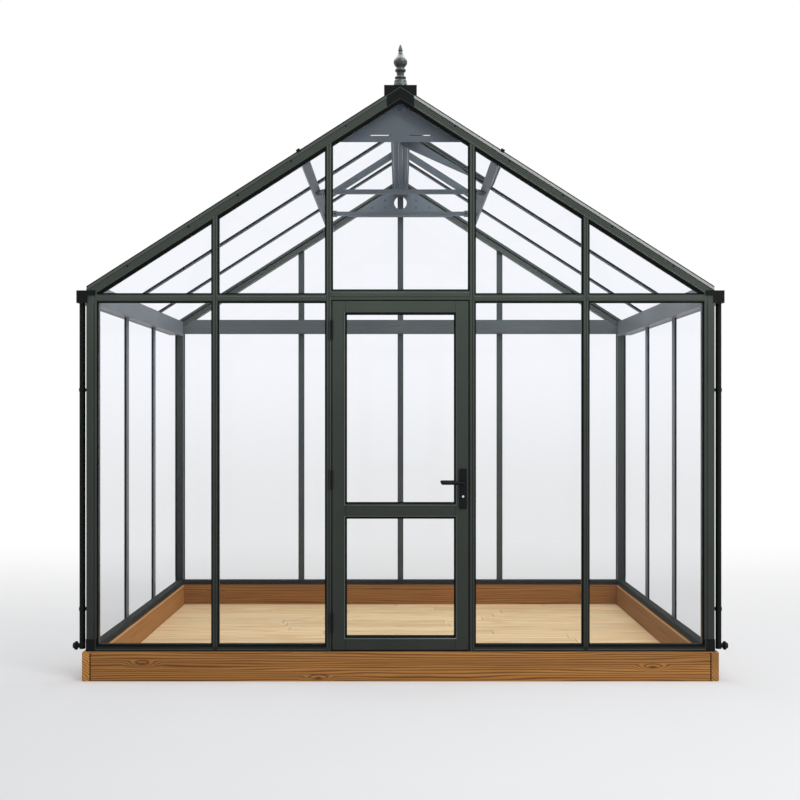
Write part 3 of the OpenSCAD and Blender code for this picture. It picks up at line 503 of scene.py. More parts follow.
# Painted light: the lighter grey of the inner sides of beams and bars.
inner = (100, 107, 112), (116, 123, 129)
IN_X, IN_Y, IN_SLOPE = (1, 0, 0), (0, 1, 0), (sin_s, 0, cos_s)
LIP_IN, BEAM_IN = 9 * MM, 20 * MM
under_lip = ridge_z * cos_s - ROOF_DROP - CAP - 1 * MM
special = {
    "base_left_beam": beam_left_painted_lit, "base_right_beam": beam_right_painted_shade, "base_back_beam": beam_far,
    "eave_beams": painted_light_inside("eave_beam_coat", IN_X, half_w - LIP_IN, inner),
    "side_mullions": painted_light_inside("side_bar_coat", IN_X, half_w - LIP_IN, inner),
    "back_eave_beam": painted_light_inside("back_beam_coat", IN_Y, half_d - BEAM_IN,
                               ((76, 83, 83), (87, 94, 94))),
    "back_mullions": painted_light_inside("back_bar_coat", IN_Y, half_d - LIP_IN,
                              ((56, 63, 62), (66, 73, 72))),
    "roof_bars": painted_light_inside("roof_bar_coat", IN_SLOPE, under_lip, painted_light_grey),
    # Painted light: the ridge's underside is a cooler blue grey.
    "ridge_beam": painted_light_inside("ridge_coat", IN_SLOPE, under_lip,
                           ((68, 83, 98), (80, 95, 111))),
}
special |= dict.fromkeys(("front_sill", "back_sill", "side_sills"), sill_paint)
# Painted light all over the inner roof members, lighter than the frame's green.
special |= dict.fromkeys(("front_gusset", "back_gusset", "collar_ties", "jack_rafters", "purlins",
                          "vent_opener"), inner_painted_light)
slots = {row["node"]: row["material_slot"] for row in frame["record"]["subparts"]}
for node_name, solid in frame["nodes"].items():
    solid.data.materials.clear()
    solid.data.materials.append(special.get(node_name) or by_slot[slots[node_name]])
print("dressed", len(frame["nodes"]), "solids in", len(set(slots.values())), "slots")

# %% Pieces of the usual finishes
add_rubber = partial(add_piece, finish=seal_rubber, slot="black plastic")
add_painted = partial(add_piece, finish=green_paint, slot="painted aluminium")
add_bright = partial(add_piece, finish=bead_paint, slot="painted aluminium")
add_metal = partial(add_piece, finish=black_metal, slot="black metal")
print("usual pieces: rubber, painted, bright painted and black metal")

# %% [markdown]
# ## Floor boards
# Pale boards run across the house, from left to right, with staggered end joints.
# A bump could fake the joints, but real gaps catch shadow from every side, so each
# board is a short block with eased edges. All of them are one mesh.

# %% Lay the boards
def eased_blocks(lo, hi, ease):
    """Blocks from lo to hi whose top edges are eased: three stacked rectangles, the
    bottom and the shoulder at full size and the top drawn in by the ease."""
    corner, inset = np.array([(0, 0), (1, 0), (1, 1), (0, 1)]), np.array([0, 0, ease])
    across = lo[:, None, :2] + (hi - lo)[:, None, :2] * corner
    across = across[:, None] + inset[:, None, None] * (1 - 2 * corner)
    rise = np.stack([lo[:, 2], hi[:, 2] - ease, hi[:, 2]], 1)[:, :, None]
    points = spots(across[..., 0], across[..., 1], rise).reshape(len(lo), 12, 3)
    ends = np.array([[3, 2, 1, 0], [8, 9, 10, 11]])
    faces = np.concatenate([grid_faces(3, 4, round_cols=True), ends])
    return [(block, faces) for block in points]


deck_lo, deck_hi = (np.array(c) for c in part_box("floor_deck"))
ROWS, GAP, BOARD_EASE = 18, 3 * MM, 3 * MM
CUT_SHARES, STAGGER = np.array([0.36, 0.70]), 0.22
rng = np.random.default_rng(7)
edges_y = np.linspace(deck_lo[1], deck_hi[1], ROWS + 1)
shares = CUT_SHARES + rng.uniform(-STAGGER, STAGGER, (ROWS, 1))
shares = np.concatenate([np.zeros((ROWS, 1)), shares, np.ones((ROWS, 1))], 1)
ends_x = deck_lo[0] + (deck_hi[0] - deck_lo[0]) * shares
lo = spots(ends_x[:, :-1] + GAP / 2, edges_y[:-1, None] + GAP / 2, deck_lo[2]).reshape(-1, 3)
hi = spots(ends_x[:, 1:] - GAP / 2, edges_y[1:, None] - GAP / 2, deck_hi[2]).reshape(-1, 3)
blocks = eased_blocks(lo, hi, BOARD_EASE)
boards = add_piece("floor_boards", blocks, floor_pine, "floor wood")
tones = np.repeat(rng.uniform(0, 1, len(blocks)), len(blocks[0][0])).astype(np.float32)
boards.data.attributes.new("board_tone", "FLOAT", "POINT").data.foreach_set("value", tones)
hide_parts("floor_deck")
print("boards:", len(blocks))

# %% [markdown]
# ## Joints of the base
# The front and back beams are let in between the side beams, and the joint shows as
# a dark upright line at each corner. The solids meet there without a gap, so a thin
# strip of shadow colour is laid over the line instead of cutting the timber.

# %% Joint lines
JOINT_W, JOINT_END, JOINT_EASE = 2.2 * MM, 5 * MM, 0.2 * MM
beam_lo, beam_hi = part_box("base_front_beam")
far_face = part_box("base_back_beam")[1].y
joint_x, joint_y = np.array([[beam_lo.x], [beam_hi.x]]), np.array([beam_lo.y, far_face])
lo = spots(joint_x - JOINT_W, joint_y - LET_IN, beam_lo.z + JOINT_END).reshape(-1, 3)
hi = spots(joint_x + JOINT_W, joint_y + LET_IN, beam_hi.z - JOINT_END).reshape(-1, 3)
add_piece("beam_joints", eased_blocks(lo, hi, JOINT_EASE), joint_shade, "base timber")

# %% [markdown]
# ## Glazing seals
# Each pane is held by black rubber that shows as a dark line inside the aluminium.
# On the bench it is a wedge bent round the opening, its corners cut on the mitre.
# A curve with a bevel would round those corners, so the ring is worked out: every
# corner moves in along the one direction that keeps both of its sides parallel.

# %% Mitred rings
def mitred_ring(outline, widths, profile):
    """Ring inside a convex outline. Side i moves in by its width times a share, so a
    corner moves by the solution of two equations: its distance from each of the two
    sides equals that side's width. The profile lists shares and depths."""
    corner = np.asarray(outline, float)
    ahead = np.roll(corner, -1, 0)
    side = ahead - corner
    area = np.sum(corner[:, 0] * ahead[:, 1] - corner[:, 1] * ahead[:, 0])
    length = np.linalg.norm(side, axis=1)[:, None]
    inward = np.sign(area) * np.stack([-side[:, 1], side[:, 0]], -1) / length
    width = np.broadcast_to(np.asarray(widths, float), len(corner))
    pairs = np.stack([np.roll(inward, 1, 0), inward], 1)
    reach = np.linalg.solve(pairs, np.stack([np.roll(width, 1), width], 1)[..., None])[..., 0]
    share, depth = np.asarray(profile, float).T
    moved = corner[:, None] + share[None, :, None] * reach[:, None]
    return moved[..., 0], moved[..., 1], depth[None] + np.zeros((len(corner), 1))


def rings_on(place, outlines, widths, profile):
    """Closed rings on one wall, each as a point and a face list."""
    rings = [mitred_ring(*pair, profile) for pair in zip(outlines, widths)]
    return [(place(*ring).reshape(-1, 3), grid_faces(*ring[0].shape, True, True))
            for ring in rings]


def rect(x0, x1, z0, z1):
    """Corners of an upright rectangle, anticlockwise."""
    return [(x0, z0), (x1, z0), (x1, z1), (x0, z1)]


def wedge(edge, width):
    """Wedge outline from a lip's edge outward by a width, lying on the glass."""
    return [(edge, 2.5 * MM), (edge + 0.35 * width, 3.2 * MM), (edge + width, 7.4 * MM),
            (edge + width, GLASS_V), (edge, GLASS_V)]


WEDGE = wedge(0.0, 1.0)
print("seal wedge of", len(WEDGE), "points")

# %% Seals of the front and back
def gable_panes(openings, lip, top, cap):
    """Outlines on the right half of a gable wall: two panes from the sill to the lip of a
    rail, and above the rail's top one between two uprights and one that ends in a tip,
    both cut to the rafter's face."""
    (x0, x1), (x2, x3) = openings
    tip = (roof_z(cap, 0) - top) / tan_s
    return [rect(x0, x1, SILL_LIP, lip), rect(x2, x3, SILL_LIP, lip),
            [(x0, top), (x1, top), (x1, roof_z(cap, x1)), (x0, roof_z(cap, x0))],
            [(x2, top), (tip, top), (x2, roof_z(cap, x2))]]


def wall_rings(place, outlines, widths, name):
    """Seals of a gable wall: the outlines given for its right half, and their twins."""
    twins = [[(-x, z) for x, z in outline][::-1] for outline in outlines]
    twin_widths = [np.roll(np.broadcast_to(w, len(o))[::-1], -1) for o, w in zip(outlines, widths)]
    add_rubber(name, rings_on(place, outlines + twins, widths + twin_widths, WEDGE))


front_panes = gable_panes(front_bays, TRANSOM_LIP, TRANSOM_TOP, RAFTER_CAP)
pane_widths = [[SILL_SEAL, SEAL, SEAL, SEAL], [SILL_SEAL, POST_SEAL, SEAL, SEAL],
               [SEAL, SEAL, RAFTER_SEAL, SEAL], [SEAL, RAFTER_SEAL, SEAL]]
wall_rings(on_front, front_panes, pane_widths, "front_seals")
head_x = DOOR_POST - BAR_CAP
over_door = [(-head_x, HEAD_TOP), (head_x, HEAD_TOP), (head_x, roof_z(RAFTER_CAP, head_x)),
             (0, roof_z(RAFTER_CAP, 0)), (-head_x, roof_z(RAFTER_CAP, head_x))]
over_widths = [SEAL, SEAL, RAFTER_SEAL, RAFTER_SEAL, SEAL]
add_rubber("over_door_seal", rings_on(on_front, [over_door], [over_widths], WEDGE))
back_panes = gable_panes(back_bays, BACK_LIP, BACK_TOP, BACK_CAP)
wall_rings(on_back, back_panes, [SEAL, [SEAL, POST_SEAL, SEAL, SEAL], SEAL, SEAL], "back_seals")

# %% Seals of the sides and the door
LEAF = 40 * MM
DOOR_RAILS = (0.2385, 0.894), (0.972, 2.017)


def inside_out(profile):
    """The same profile on the inner face of the door leaf."""
    return [(share, LEAF - v) for share, v in profile]


side_panes = [rect(*bay, SILL_LIP, EAVE_LIP) for bay in side_bays]
for place, name in ((on_right, "right_seals"), (on_left, "left_seals")):
    add_rubber(name, rings_on(place, side_panes, [SIDE_SEAL] * 3, WEDGE))
leaf_lo, leaf_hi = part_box("door_stiles")
leaf_x = leaf_hi.x - 72 * MM
door_panes = [rect(-leaf_x, leaf_x, *heights) for heights in DOOR_RAILS]
DOOR_WEDGE = [(0.0, 11 * MM), (0.4, 11.6 * MM), (1.0, 16.4 * MM), (1.0, 18 * MM), (0.0, 18 * MM)]


def door_rings(name, outlines, widths, profile, add=add_rubber):
    """Rings round both door panes, on the outer and on the inner face of the leaf."""
    for shape, face in ((profile, "_out"), (inside_out(profile), "_in")):
        add(name + face, rings_on(on_front, outlines, [widths] * 2, shape), body="door")


door_rings("door_seals", door_panes, 7 * MM, DOOR_WEDGE)

# %% [markdown]
# ## Ribs on the bars
# Extruded bars are never flat: two ribs with a groove between run up each glazing
# bar, and a step with an eased top runs along the rails. Those edges draw the fine
# light and dark lines of the real frame. Each rib is one small outline carried
# along a straight line, so it stays a few faces long however far it runs.

# %% Carry an outline along a line
def carried(place, outline, start, end):
    """Closed bar: the outline's points at the start and again at the end, joined by
    quads and capped. Start and end may differ from point to point, for slanted cuts."""
    across, out = np.asarray(outline, float).T
    count = len(across)
    t = np.stack([np.broadcast_to(start, count), np.broadcast_to(end, count)])
    points = place(t, across[None], out[None]).reshape(-1, 3)
    caps = [list(range(count))[::-1], list(range(count, 2 * count))]
    return points, [list(f) for f in grid_faces(2, count, round_cols=True)] + caps


def eased(lo, hi, out, fall, run=None, top=None):
    """Outline of a rib from lo to hi, standing out by a height. Its two corners fall by an
    amount over a run of the same length, unless a run is given, the upper one over a top
    run if that is given. Its root is let a little into what it stands on."""
    run = run or fall
    return [(lo, LET_IN), (lo, fall - out), (lo + run, -out), (hi - (top or run), -out),
            (hi, fall - out), (hi, LET_IN)]


def flat(lo, hi, out, root=LET_IN):
    """Outline of a square strip from lo to hi, standing out by a height."""
    return [(lo, root), (lo, -out), (hi, -out), (hi, root)]


def up(wall):
    """Carry upward on a wall: the line is z, the outline lies in x and v. A wall by itself
    carries sideways: the line is x, the outline lies in z and v."""
    return lambda t, across, out: wall(across, t, out)


print("rib helpers ready")

# %% Ribs of the glazing bars and posts
RIB, RIB_FALL, RIB_RUN = 2.4 * MM, 2.2 * MM, 4 * MM
TWIN_RIBS = [(-13 * MM, -2 * MM), (2 * MM, 13 * MM)]
POST_RIBS = [(1 * MM, 38 * MM), (43 * MM, 56.5 * MM)]
RIB_FOOT, RIB_HEAD, POST_GROOVE = 0.228, 2.07, 40.5 * MM
front_lines = (-FRONT_BAR, FRONT_BAR, -DOOR_POST, DOOR_POST)
back_lines = (-BACK_BAR, 0.0, BACK_BAR)


def rib(wall, x0, x1, foot, top):
    """Rib up a wall from x0 to x1: from a foot to a top, which may be a height or a rule
    that gives the height of the roof at x."""
    tip = top(np.array([x0] * 3 + [x1] * 3)) if callable(top) else top
    return carried(up(wall), eased(x0, x1, RIB, RIB_FALL, RIB_RUN), foot, tip)


def bar_ribs(wall, x, foot, top):
    """Twin ribs on a glazing bar at x."""
    return [rib(wall, x + lo, x + hi, foot, top) for lo, hi in TWIN_RIBS]


front_top, back_top = partial(roof_z, RAFTER_CAP + 1 * MM), partial(roof_z, BACK_CAP + 1 * MM)
ribs = []
for x in front_lines:
    ribs += bar_ribs(on_front, x, base_h if abs(x) == DOOR_POST else SILL_LIP, front_top)
for x in back_lines:
    ribs += bar_ribs(on_back, x, SILL_LIP, back_top)
for wall in (on_left, on_right):
    for y in side_lines:
        ribs += bar_ribs(wall, y, SILL_LIP, EAVE_LIP)
add_painted("bar_ribs", ribs)

posts = []
post_walls = ((on_front, half_w, front_top), (on_back, half_w, back_top),
              (on_left, half_d, RIB_HEAD), (on_right, half_d, RIB_HEAD))
for wall, edge, top in post_walls:
    for side in SIDES:
        for lo, hi in POST_RIBS:
            x0, x1 = sorted((side * (edge - lo), side * (edge - hi)))
            posts.append(rib(wall, x0, x1, RIB_FOOT, top))
add_painted("post_ribs", posts)


def groove_shade(wall, x, z0, z1):
    """Thin dark strip in the groove between two ribs: painted shade of the groove."""
    return carried(up(wall), flat(x - 1.2 * MM, x + 1.2 * MM, 0.3 * MM), z0, z1)


lines = [groove_shade(on_front, x, SILL_LIP, roof_z(RAFTER_CAP + 2 * MM, x)) for x in front_lines]
lines += [groove_shade(on_back, x, SILL_LIP, roof_z(BACK_CAP + 2 * MM, x)) for x in back_lines]
for side in SIDES:
    for wall, edge, _ in post_walls:
        lines.append(groove_shade(wall, side * (edge - POST_GROOVE), RIB_FOOT, RIB_HEAD))
    lines += [groove_shade(wall, side * SIDE_BAR, SILL_LIP, EAVE_LIP) for wall in (on_left, on_right)]
add_rubber("groove_lines", lines)

# %% Steps along the rails
STEP, STEP_EASE, STEP_TOP = 5 * MM, 4.5 * MM, 5 * MM
SILL_STEP, TRANSOM_STEP = (0.162, 0.174), (2.086, 2.113)
HEAD_STEP, BACK_STEP = (2.106, 2.134), (2.097, 2.171)


def rail_step(wall, heights, ends):
    """Eased step on a rail, between two heights and two ends."""
    return carried(wall, eased(*heights, STEP, STEP_EASE, top=STEP_TOP), *sorted(ends))


rails = [rail_step(on_front, HEAD_STEP, (-head_x, head_x))]
for side in SIDES:
    for wall, openings, upper in ((on_front, front_bays, TRANSOM_STEP),
                                  (on_back, back_bays, BACK_STEP)):
        for bay in openings:
            ends = [side * x for x in bay]
            rails += [rail_step(wall, upper, ends), rail_step(wall, SILL_STEP, ends)]
for wall in (on_left, on_right):
    rails += [rail_step(wall, SILL_STEP, bay) for bay in side_bays]
add_painted("rail_steps", rails)

# %% [markdown]
# ## Moulding on the gable rafters
# The rafter face has a slanted facet under its top edge, a flat with fine ribs and a
# thin bead above the seal. The facet leans up by about 17 degrees, and that is what
# flashes bright on the side that faces the lamp; a round bead would show only a hair
# of light. Above it a thin black strip closes the top edge.

# %% Rafter mouldings
def on_rafter(wall_sign, side):
    """Rafter of one gable: the line is distance down the slope, the outline lies in
    depth below the roof surface and in v from the outer face of that gable."""
    return lambda t, below, out: on_roof(side)(wall_sign * (half_d - out), t, below)


def slanted(outline, x):
    """Distance down the slope at which each point of the outline stands at x: x plus
    the depth times the sine, divided by the cosine."""
    return (x + np.asarray(outline, float)[:, 0] * sin_s) / cos_s


def bead(middle, radius, out):
    """Half-round outline: points on a half circle flattened to a height."""
    turn = np.linspace(np.pi, 0, 5)
    arc = np.stack([middle + radius * np.cos(turn), -out * np.sin(turn)], -1)
    return [(middle - radius, LET_IN), *map(tuple, arc), (middle + radius, LET_IN)]


def moulding(place, outline, start, end):
    """Bar on a rafter, cut upright at two distances from the middle."""
    return carried(place, outline, slanted(outline, start), slanted(outline, end))


plate_end, tip_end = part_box("apex_plates")[1].x + 1 * MM, half_w - 0.5 * MM
FACET = np.array([(5, 0.4), (5, -0.6), (20, -5.2), (21, -4.4), (21, 0.4)]) * MM
TOP_STRIP = flat(0.3 * MM, 4.5 * MM, 1.6 * MM)
FINE_RIBS = [eased(at * MM, (at + 8) * MM, 1.8 * MM, 1.2 * MM) for at in (24, 35, 46)]
mouldings, beads, strips, covers = [], [], [], []
for wall_sign, cap, rib_count in ((-1, RAFTER_CAP, 3), (1, BACK_CAP, 1)):
    lower = bead(cap - 4 * MM, 3.5 * MM, 3.5 * MM)
    edge = bead(cap - 2 * MM, 1.5 * MM, 2.5 * MM)
    cover = flat(10 * MM, cap - 4 * MM, 3.2 * MM)
    for side in SIDES:
        place = on_rafter(wall_sign, side)
        mouldings += [moulding(place, o, plate_end, tip_end) for o in FINE_RIBS[:rib_count]]
        beads += [moulding(place, o, plate_end, tip_end) for o in (FACET, lower)]
        beads.append(moulding(place, edge, 0.0, plate_end))
        strips.append(moulding(place, TOP_STRIP, 0.0, half_w))
        covers.append(moulding(place, cover, 0.0, plate_end))
add_painted("rafter_mouldings", mouldings)
add_bright("rafter_facets", beads)
add_rubber("rafter_top_strips", strips)
add_metal("apex_covers", covers)

# %% [markdown]
# ## Seals on the roof
# The roof panes lie under the lips of the bars and the ridge, with the same black
# wedge beside each lip. These lines are straight, so the wedge is simply carried down
# the slope, or along the ridge. The vent fills the top of one bay, so the seals of
# that bay start below it.

# %% Roof seals
def under_roof(side):
    """Roof slope of the panes, which lies lower than the tops of the gable rafters."""
    return lambda x, z, v: on_roof(side)(x, z, v + ROOF_DROP)


ridge_u = (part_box("ridge_beam")[1].x + (ROOF_DROP + 6 * MM) * sin_s) / cos_s
eave_u = (half_w + 10 * MM + (ROOF_DROP + CAP) * sin_s) / cos_s
vent_end = (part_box("vent_frame")[1].x + 2 * MM) / cos_s
inner_y = half_d - 60 * MM
roof_bays = bays(-inner_y, side_lines, inner_y)
roof_seals = []
for side in SIDES:
    for bay in roof_bays:
        has_vent = side > 0 and bay == roof_bays[0]
        start = vent_end if has_vent else ridge_u
        for edge, width in zip(bay, (SIDE_SEAL, -SIDE_SEAL)):
            roof_seals.append(carried(up(under_roof(side)), wedge(edge, width), start, eave_u))
        if not has_vent:
            top = wedge(ridge_u - 2 * MM, SIDE_SEAL)
            roof_seals.append(carried(under_roof(side), top, *bay))
add_rubber("roof_seals", roof_seals)

# %% [markdown]
# ## Beads and sweep of the door
# A slim bead runs round each door pane where the glass was put in, outside and in,
# and a soft strip under the leaf keeps the draught out. The beads are mitred rings
# like the seals, only drawn outward from the opening.

# %% Door beads
FLANGE_X, FLANGE_Z, BEAD_W, SEAM = 2.5 * MM, 5 * MM, 8 * MM, 0.8 * MM
LIP = flat(0.0, 1.0, 0.8 * MM)
DOOR_BEAD = [(0.0, LET_IN), (0.05, -1.2 * MM), (0.2, -3.6 * MM), (0.45, -3.6 * MM),
             (1.0, -0.3 * MM), (1.0, LET_IN)]
JOINT_ZS = (leaf_lo.z, 0.2325), (0.900, 0.966), (2.023, leaf_hi.z)


def grown(outline, by_x, by_z):
    """Rectangle grown sideways by one amount and up and down by another."""
    (x0, z0), (x1, _), (_, z1), _ = outline
    return rect(x0 - by_x, x1 + by_x, z0 - by_z, z1 + by_z)


flanges = [grown(o, FLANGE_X, FLANGE_Z) for o in door_panes]
door_rings("door_gaskets", flanges, [FLANGE_Z, FLANGE_X] * 2, LIP)
frames = [grown(o, BEAD_W, BEAD_W) for o in flanges]
door_rings("door_beads", frames, BEAD_W, DOOR_BEAD, add_bright)
joints = []
for z0, z1 in JOINT_ZS:
    for x in (-leaf_x, leaf_x):
        seam = flat(x - SEAM, x + SEAM, 0.2 * MM, 0.3 * MM)
        joints += [carried(up(on_front), shape, z0, z1) for shape in (seam, inside_out(seam))]
add_rubber("door_joints", joints, body="door")
sweep_lo, sweep_hi = leaf_lo.z - 2.6 * MM, leaf_lo.z + LET_IN
sweep = [(sweep_lo, 12 * MM), (sweep_lo, 28 * MM), (sweep_hi, 30 * MM), (sweep_hi, 10 * MM)]
strip = carried(on_front, sweep, leaf_lo.x + 3 * MM, leaf_hi.x - 3 * MM)
add_rubber("door_sweep", [strip], body="door")

# %% [markdown]
# ## Screws, clips and plates
# Small round things are surfaces of revolution: a list of radii and heights turned
# about an axis. A sphere pressed flat would do from far away, but a screw shows its
# socket and its flat rim when the light rakes it. All heads of a kind are one mesh.

# %% Turned heads
HEAD = np.array([(0.0, 0.7), (1.6, 0.7), (1.7, 2.3), (3.6, 2.0), (4.8, 1.0), (5.0, -0.4)]) * MM
X, Y, Z = np.eye(3)


def heads(profile, centres, out, segments=12):
    """Heads of one profile: each point goes round a circle of its radius in the plane
    of two axes, and its height goes along the outward axis. The tip is a ring of no
    size, whose points become one when the mesh is made."""
    across = Y if out[0] else X
    turn = np.arange(segments)[None, :, None] * 2 * np.pi / segments
    radius, height = profile[:, 0, None, None], profile[:, 1, None, None]
    rings = radius * (np.cos(turn) * across + np.sin(turn) * Z) + height * out
    one = rings.reshape(-1, 3)
    back = np.arange(len(one) - segments, len(one))[::-1]
    faces = [*grid_faces(len(profile), segments, round_cols=True), back]
    return [(one + np.asarray(c), faces) for c in centres]


def front_and_back(profile, places, front_y, back_y, segments=12):
    """Heads at the same places in x and z on two faces: those at front_y point to the
    front, and those at back_y to the back."""
    return (heads(profile, [(x, front_y, z) for x, z in places], -Y, segments)
            + heads(profile, [(x, back_y, z) for x, z in places], Y, segments))


SCREW_XS, SCREW_BELOW, SCREW_SEAT = (0.30, 0.60, 0.893, 1.163, 1.50), 28 * MM, 1.8 * MM
FOOT_Z, FOOT_IN, FOOT_SEAT = 0.195, 22 * MM, 3 * MM
places = [(side * x, roof_z(SCREW_BELOW, x)) for side in SIDES for x in SCREW_XS]
screws = front_and_back(HEAD, places, -half_d - SCREW_SEAT, half_d + SCREW_SEAT)
add_metal("rafter_screws", screws, smooth=True)

places = [(side * (half_w - FOOT_IN), FOOT_Z) for side in SIDES]
feet = front_and_back(HEAD, places, -half_d - FOOT_SEAT, half_d + FOOT_SEAT)
for side in SIDES:
    at_side = [(side * (half_w + FOOT_SEAT), end * (half_d - FOOT_IN), FOOT_Z) for end in SIDES]
    feet += heads(HEAD, at_side, side * X)
add_metal("foot_screws", feet, smooth=True)

# %% Clips on the rafters, plates and bolts on the ties and gussets
CLIP = np.array([(-9, -5), (-7, -7), (5, -7), (5, 0.5), (0, 0.5), (0, 16), (-9, 16)]) * MM
CLIP_U = 0.655, 0.677
PLATE_L, PLATE_OVER, PLATE_T, TIE_HALF = 90 * MM, 6 * MM, 3 * MM, 12 * MM
TIE_BOLTS = 60 * MM, 78 * MM
GUSSET_BOLTS = (0.33, 14), (0.22, 14), (0.22, 72), (0.12, 72), (0.12, 128)
clips = [carried(on_rafter(gable, side), CLIP, *CLIP_U) for gable in SIDES for side in SIDES]
add_metal("rafter_clips", clips)


def through(t, across, rise):
    """Carry from front to back: the outline lies in x and z."""
    return spots(across, t, rise)


tie_lo, tie_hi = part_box("collar_ties")
reach, low, high = tie_hi.x - 4 * MM, tie_lo.z - PLATE_OVER, tie_hi.z + PLATE_OVER
lean = (high - low) / tan_s
bolt_z = (tie_lo.z + tie_hi.z) / 2
plates, bolts = [], []
for y in side_lines:
    for face in SIDES:
        level = y + face * TIE_HALF
        for side in SIDES:
            shape = [(side * (reach - PLATE_L), low), (side * reach, low),
                     (side * (reach - lean), high), (side * (reach - PLATE_L), high)]
            plates.append(carried(through, shape, level - face * 0.3 * MM, level + face * PLATE_T))
            centres = [(side * (reach - d), level + face * PLATE_T, bolt_z) for d in TIE_BOLTS]
            bolts += heads(HEAD * 1.3, centres, face * Y)
add_piece("tie_plates", plates, inner_painted_light, "painted aluminium")
gusset_y, gusset_z = half_d - 64 * MM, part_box("front_gusset")[0].z
places = [(side * x, gusset_z + rise * MM) for x, rise in GUSSET_BOLTS for side in SIDES]
bolts += front_and_back(HEAD * 1.2, places, gusset_y, -gusset_y)
add_metal("inner_bolts", bolts, smooth=True)

# %% [markdown]
# ## Strips inside the house
# From the door you look up at the underside of the ridge, which gets four fine ribs,
# and across at the back beam, which gets a step on its lower half. They could be cut
# into the solids, but they are trim, so slim strips are carried along them instead.
# The photograph also has a pale line under each side sill. Here the sill covers the
# beam's top edge, so a slim pale strip on its inner face stands in for that line.

# %% Ridge ribs, back step and pale edge strips
RIDGE_RIBS, RIDGE_RIB_HALF = (-0.046, -0.013, 0.013, 0.046), 4 * MM
ridge_lo, ridge_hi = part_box("ridge_beam")
beam_lo, beam_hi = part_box("back_eave_beam")
ribs = [eased(x - RIDGE_RIB_HALF, x + RIDGE_RIB_HALF, 4 * MM, 1.5 * MM) for x in RIDGE_RIBS]
ribs = [carried(through, np.add(o, (0, ridge_lo.z)), ridge_lo.y + 1 * MM, ridge_hi.y - 1 * MM)
        for o in ribs]
# Painted light: the ridge ribs take the cool blue grey.
add_piece("ridge_ribs", ribs, ridge_painted_light, "painted aluminium")
step = eased(beam_lo.z + 3 * MM, beam_lo.z + 52 * MM, 4 * MM, 2 * MM)
step = np.add(step, (0, half_d + beam_lo.y))
step = carried(on_front, step, beam_lo.x + 2 * MM, beam_hi.x - 2 * MM)
add_piece("back_beam_step", [step], special["back_eave_beam"], "painted aluminium")
ARRIS = np.array([(-11, -0.4), (-11, 0.3), (-2, 1.6), (-1, 0.8), (-1, -0.4)]) * MM
front_end, back_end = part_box("base_front_beam")[1].y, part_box("base_back_beam")[0].y
edge = base_h, half_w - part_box("base_right_beam")[0].x
arrises = [carried(wall, ARRIS + edge, front_end + 1 * MM, back_end - 1 * MM)
           for wall in (on_right, on_left)]
add_piece("beam_arrises", arrises, arris_wood, "base timber")

# %% [markdown]
# ## Lock
# The long handle plate has a bright lock barrel below the lever and a screw near each
# end, outside and in. Plain cylinders would have sharp rims, so they are turned from
# a profile like the other heads. They ride on the door.

# %% Lock and plate screws
BARREL = np.array([(0.0, 1.2), (1.0, 1.2), (1.1, 2.4), (5.2, 2.6), (6.3, 1.8), (6.6, -0.4)]) * MM
LOCK_Z, PLATE_END, BARREL_SEGMENTS = 1.011, 14 * MM, 20
plate_lo, plate_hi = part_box("handle_plates")
plate_x = (plate_lo.x + plate_hi.x) / 2
lock = front_and_back(BARREL, [(plate_x, LOCK_Z)], plate_lo.y, plate_hi.y, BARREL_SEGMENTS)
add_piece("lock_barrel", lock, steel, "finial metal", body="door", smooth=True)
places = [(plate_x, plate_lo.z + PLATE_END), (plate_x, plate_hi.z - PLATE_END)]
fixing = front_and_back(HEAD * 0.9, places, plate_lo.y, plate_hi.y)
add_metal("plate_screws", fixing, body="door", smooth=True)

# %% [markdown]
# ## Floor, light and camera
# The photograph has a pale floor that fades to white behind the house, and soft light
# from all round. A long strip lamp high on the right draws the bright line on the
# right rafter, a softbox hangs over the house, and another stands low on the right.
# The fade could be a picture behind the house, but it is in the floor's own colour, so
# it holds from every side. The camera stands level, straight in front of the door.

# %% Stage
FLOOR_HALF, FLOOR_SHADE = 60.0, (0.79, 0.79, 0.795, 1)
FADE_BACK, FADE_OUT = (-3.5, 5.5), (5.0, 11.0)


def stage_floor():
    """Flat floor whose camera colour goes from pale grey to white behind the house, and
    far out on all sides, while lamps still see it as a plain pale surface."""
    mesh = bpy.data.meshes.new("studio_floor")
    corners = rect(-FLOOR_HALF, FLOOR_HALF, -FLOOR_HALF, FLOOR_HALF)
    mesh.from_pydata([(x, y, 0) for x, y in corners], [], [(0, 1, 2, 3)])
    floor = bpy.data.objects.new("studio_floor", mesh)
    bpy.context.scene.collection.objects.link(floor)
    mix = new_finish("studio_floor")
    plain = mix.shade(Base_Color=FLOOR_SHADE, Roughness=0.9, Specular_IOR_Level=0.0)
    distance = mix.vector("LENGTH", mix.add("TexCoord")["Object"])["Value"]
    white = mix.maths("MAXIMUM", mix.ranged(mix.axis("Y"), *FADE_BACK, smooth=True),
                      mix.ranged(distance, *FADE_OUT, smooth=True))
    glow = mix.add("Emission", Strength=1.0)[0]
    mix.surface(mix.maths("MULTIPLY", white, mix.seen()), plain, glow)
    mesh.materials.append(mix.owner)


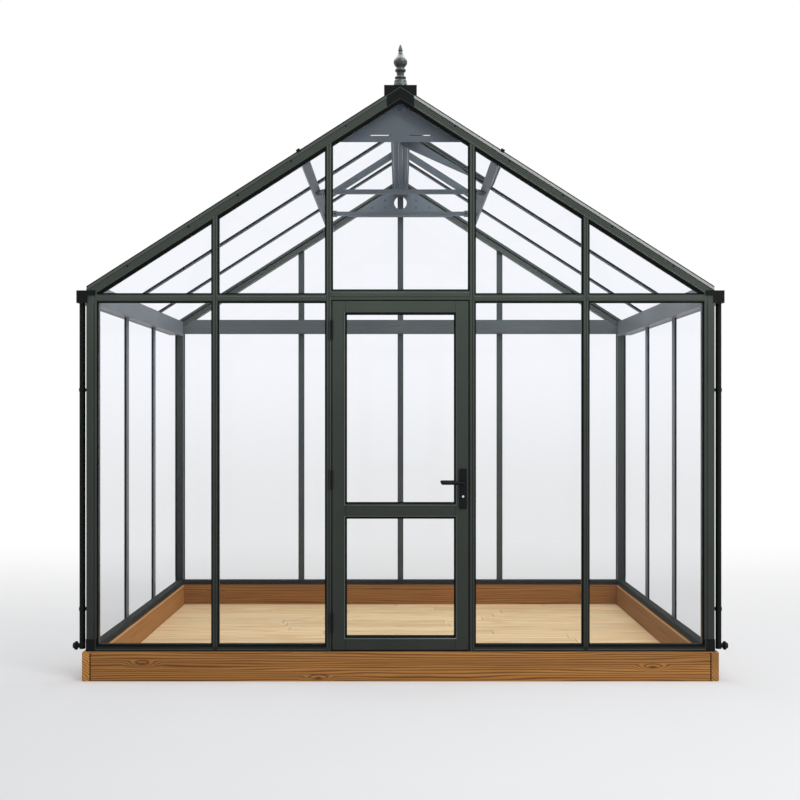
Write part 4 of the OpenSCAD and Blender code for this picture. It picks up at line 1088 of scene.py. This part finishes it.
def sky(strength):
    """World that is white to the camera, mirrors and glass, and a soft fill to the rest."""
    mix = Recipe(bpy.data.worlds.new("studio"))
    fill = mix.fill(mix.nodes["Background"], Color=(0.97, 0.985, 1, 1), Strength=strength)[0]
    white = mix.add("Background", Color=(1, 1, 1, 1), Strength=1.0)[0]
    mix.surface(mix.seen(), fill, white, "World Output")
    bpy.context.scene.world = mix.owner


def broad_lamp(name, place, aim, along, length, width, watts):
    """Area lamp at a place, facing a point, with its long side along a direction."""
    back = (Vector(place) - Vector(aim)).normalized()
    side = (Vector(along) - back * back.dot(Vector(along))).normalized()
    data = bpy.data.lights.new(name, "AREA")
    data.shape, data.size, data.size_y, data.energy = "RECTANGLE", length, width, watts
    lamp = bpy.data.objects.new(name, data)
    turn = Matrix((side, back.cross(side), back)).transposed().to_4x4()
    lamp.matrix_world = Matrix.Translation(place) @ turn
    lamp.visible_camera = False
    bpy.context.scene.collection.objects.link(lamp)


stage_floor()
sky(0.52)
for lamp in (
    ("right_strip_lamp", (3.8, -6.0, 7.2), (0.9, -1.2, 2.7), (cos_s, 0, -sin_s), 7.0, 1.6, 300.0),
    ("top_softbox", (0, -0.4, 4.9), (0, -0.4, 0), (1, 0, 0), 4.8, 2.4, 120.0),
    ("side_softbox", (7.0, -6.4, 1.9), (0, -1.2, 1.4), (0, 0, 1), 3.6, 4.0, 120.0),
):
    broad_lamp(*lamp)
print("stage: floor, sky and three lamps")

# %% Camera
CAMERA_BACK, CAMERA_Z = 6.038, 1.457
view = bpy.data.cameras.new("photo_view")
view.lens, view.sensor_width = 49.46, 36.0
view.shift_x, view.shift_y = -0.00056, 0.0191
camera = bpy.data.objects.new("photo_view", view)
camera.location, camera.rotation_euler = (0, -half_d - CAMERA_BACK, CAMERA_Z), (np.pi / 2, 0, 0)
bpy.context.scene.collection.objects.link(camera)
bpy.context.scene.camera = camera
bpy.context.scene.view_settings.view_transform = "Standard"
print("camera", view.lens, "mm at", tuple(camera.location))

# %% [markdown]
# ## Close the lesson
# The count of added pieces and of their faces is printed.

# %% Pieces and faces
print("added pieces:", len(made), "faces:", sum(made.values()))
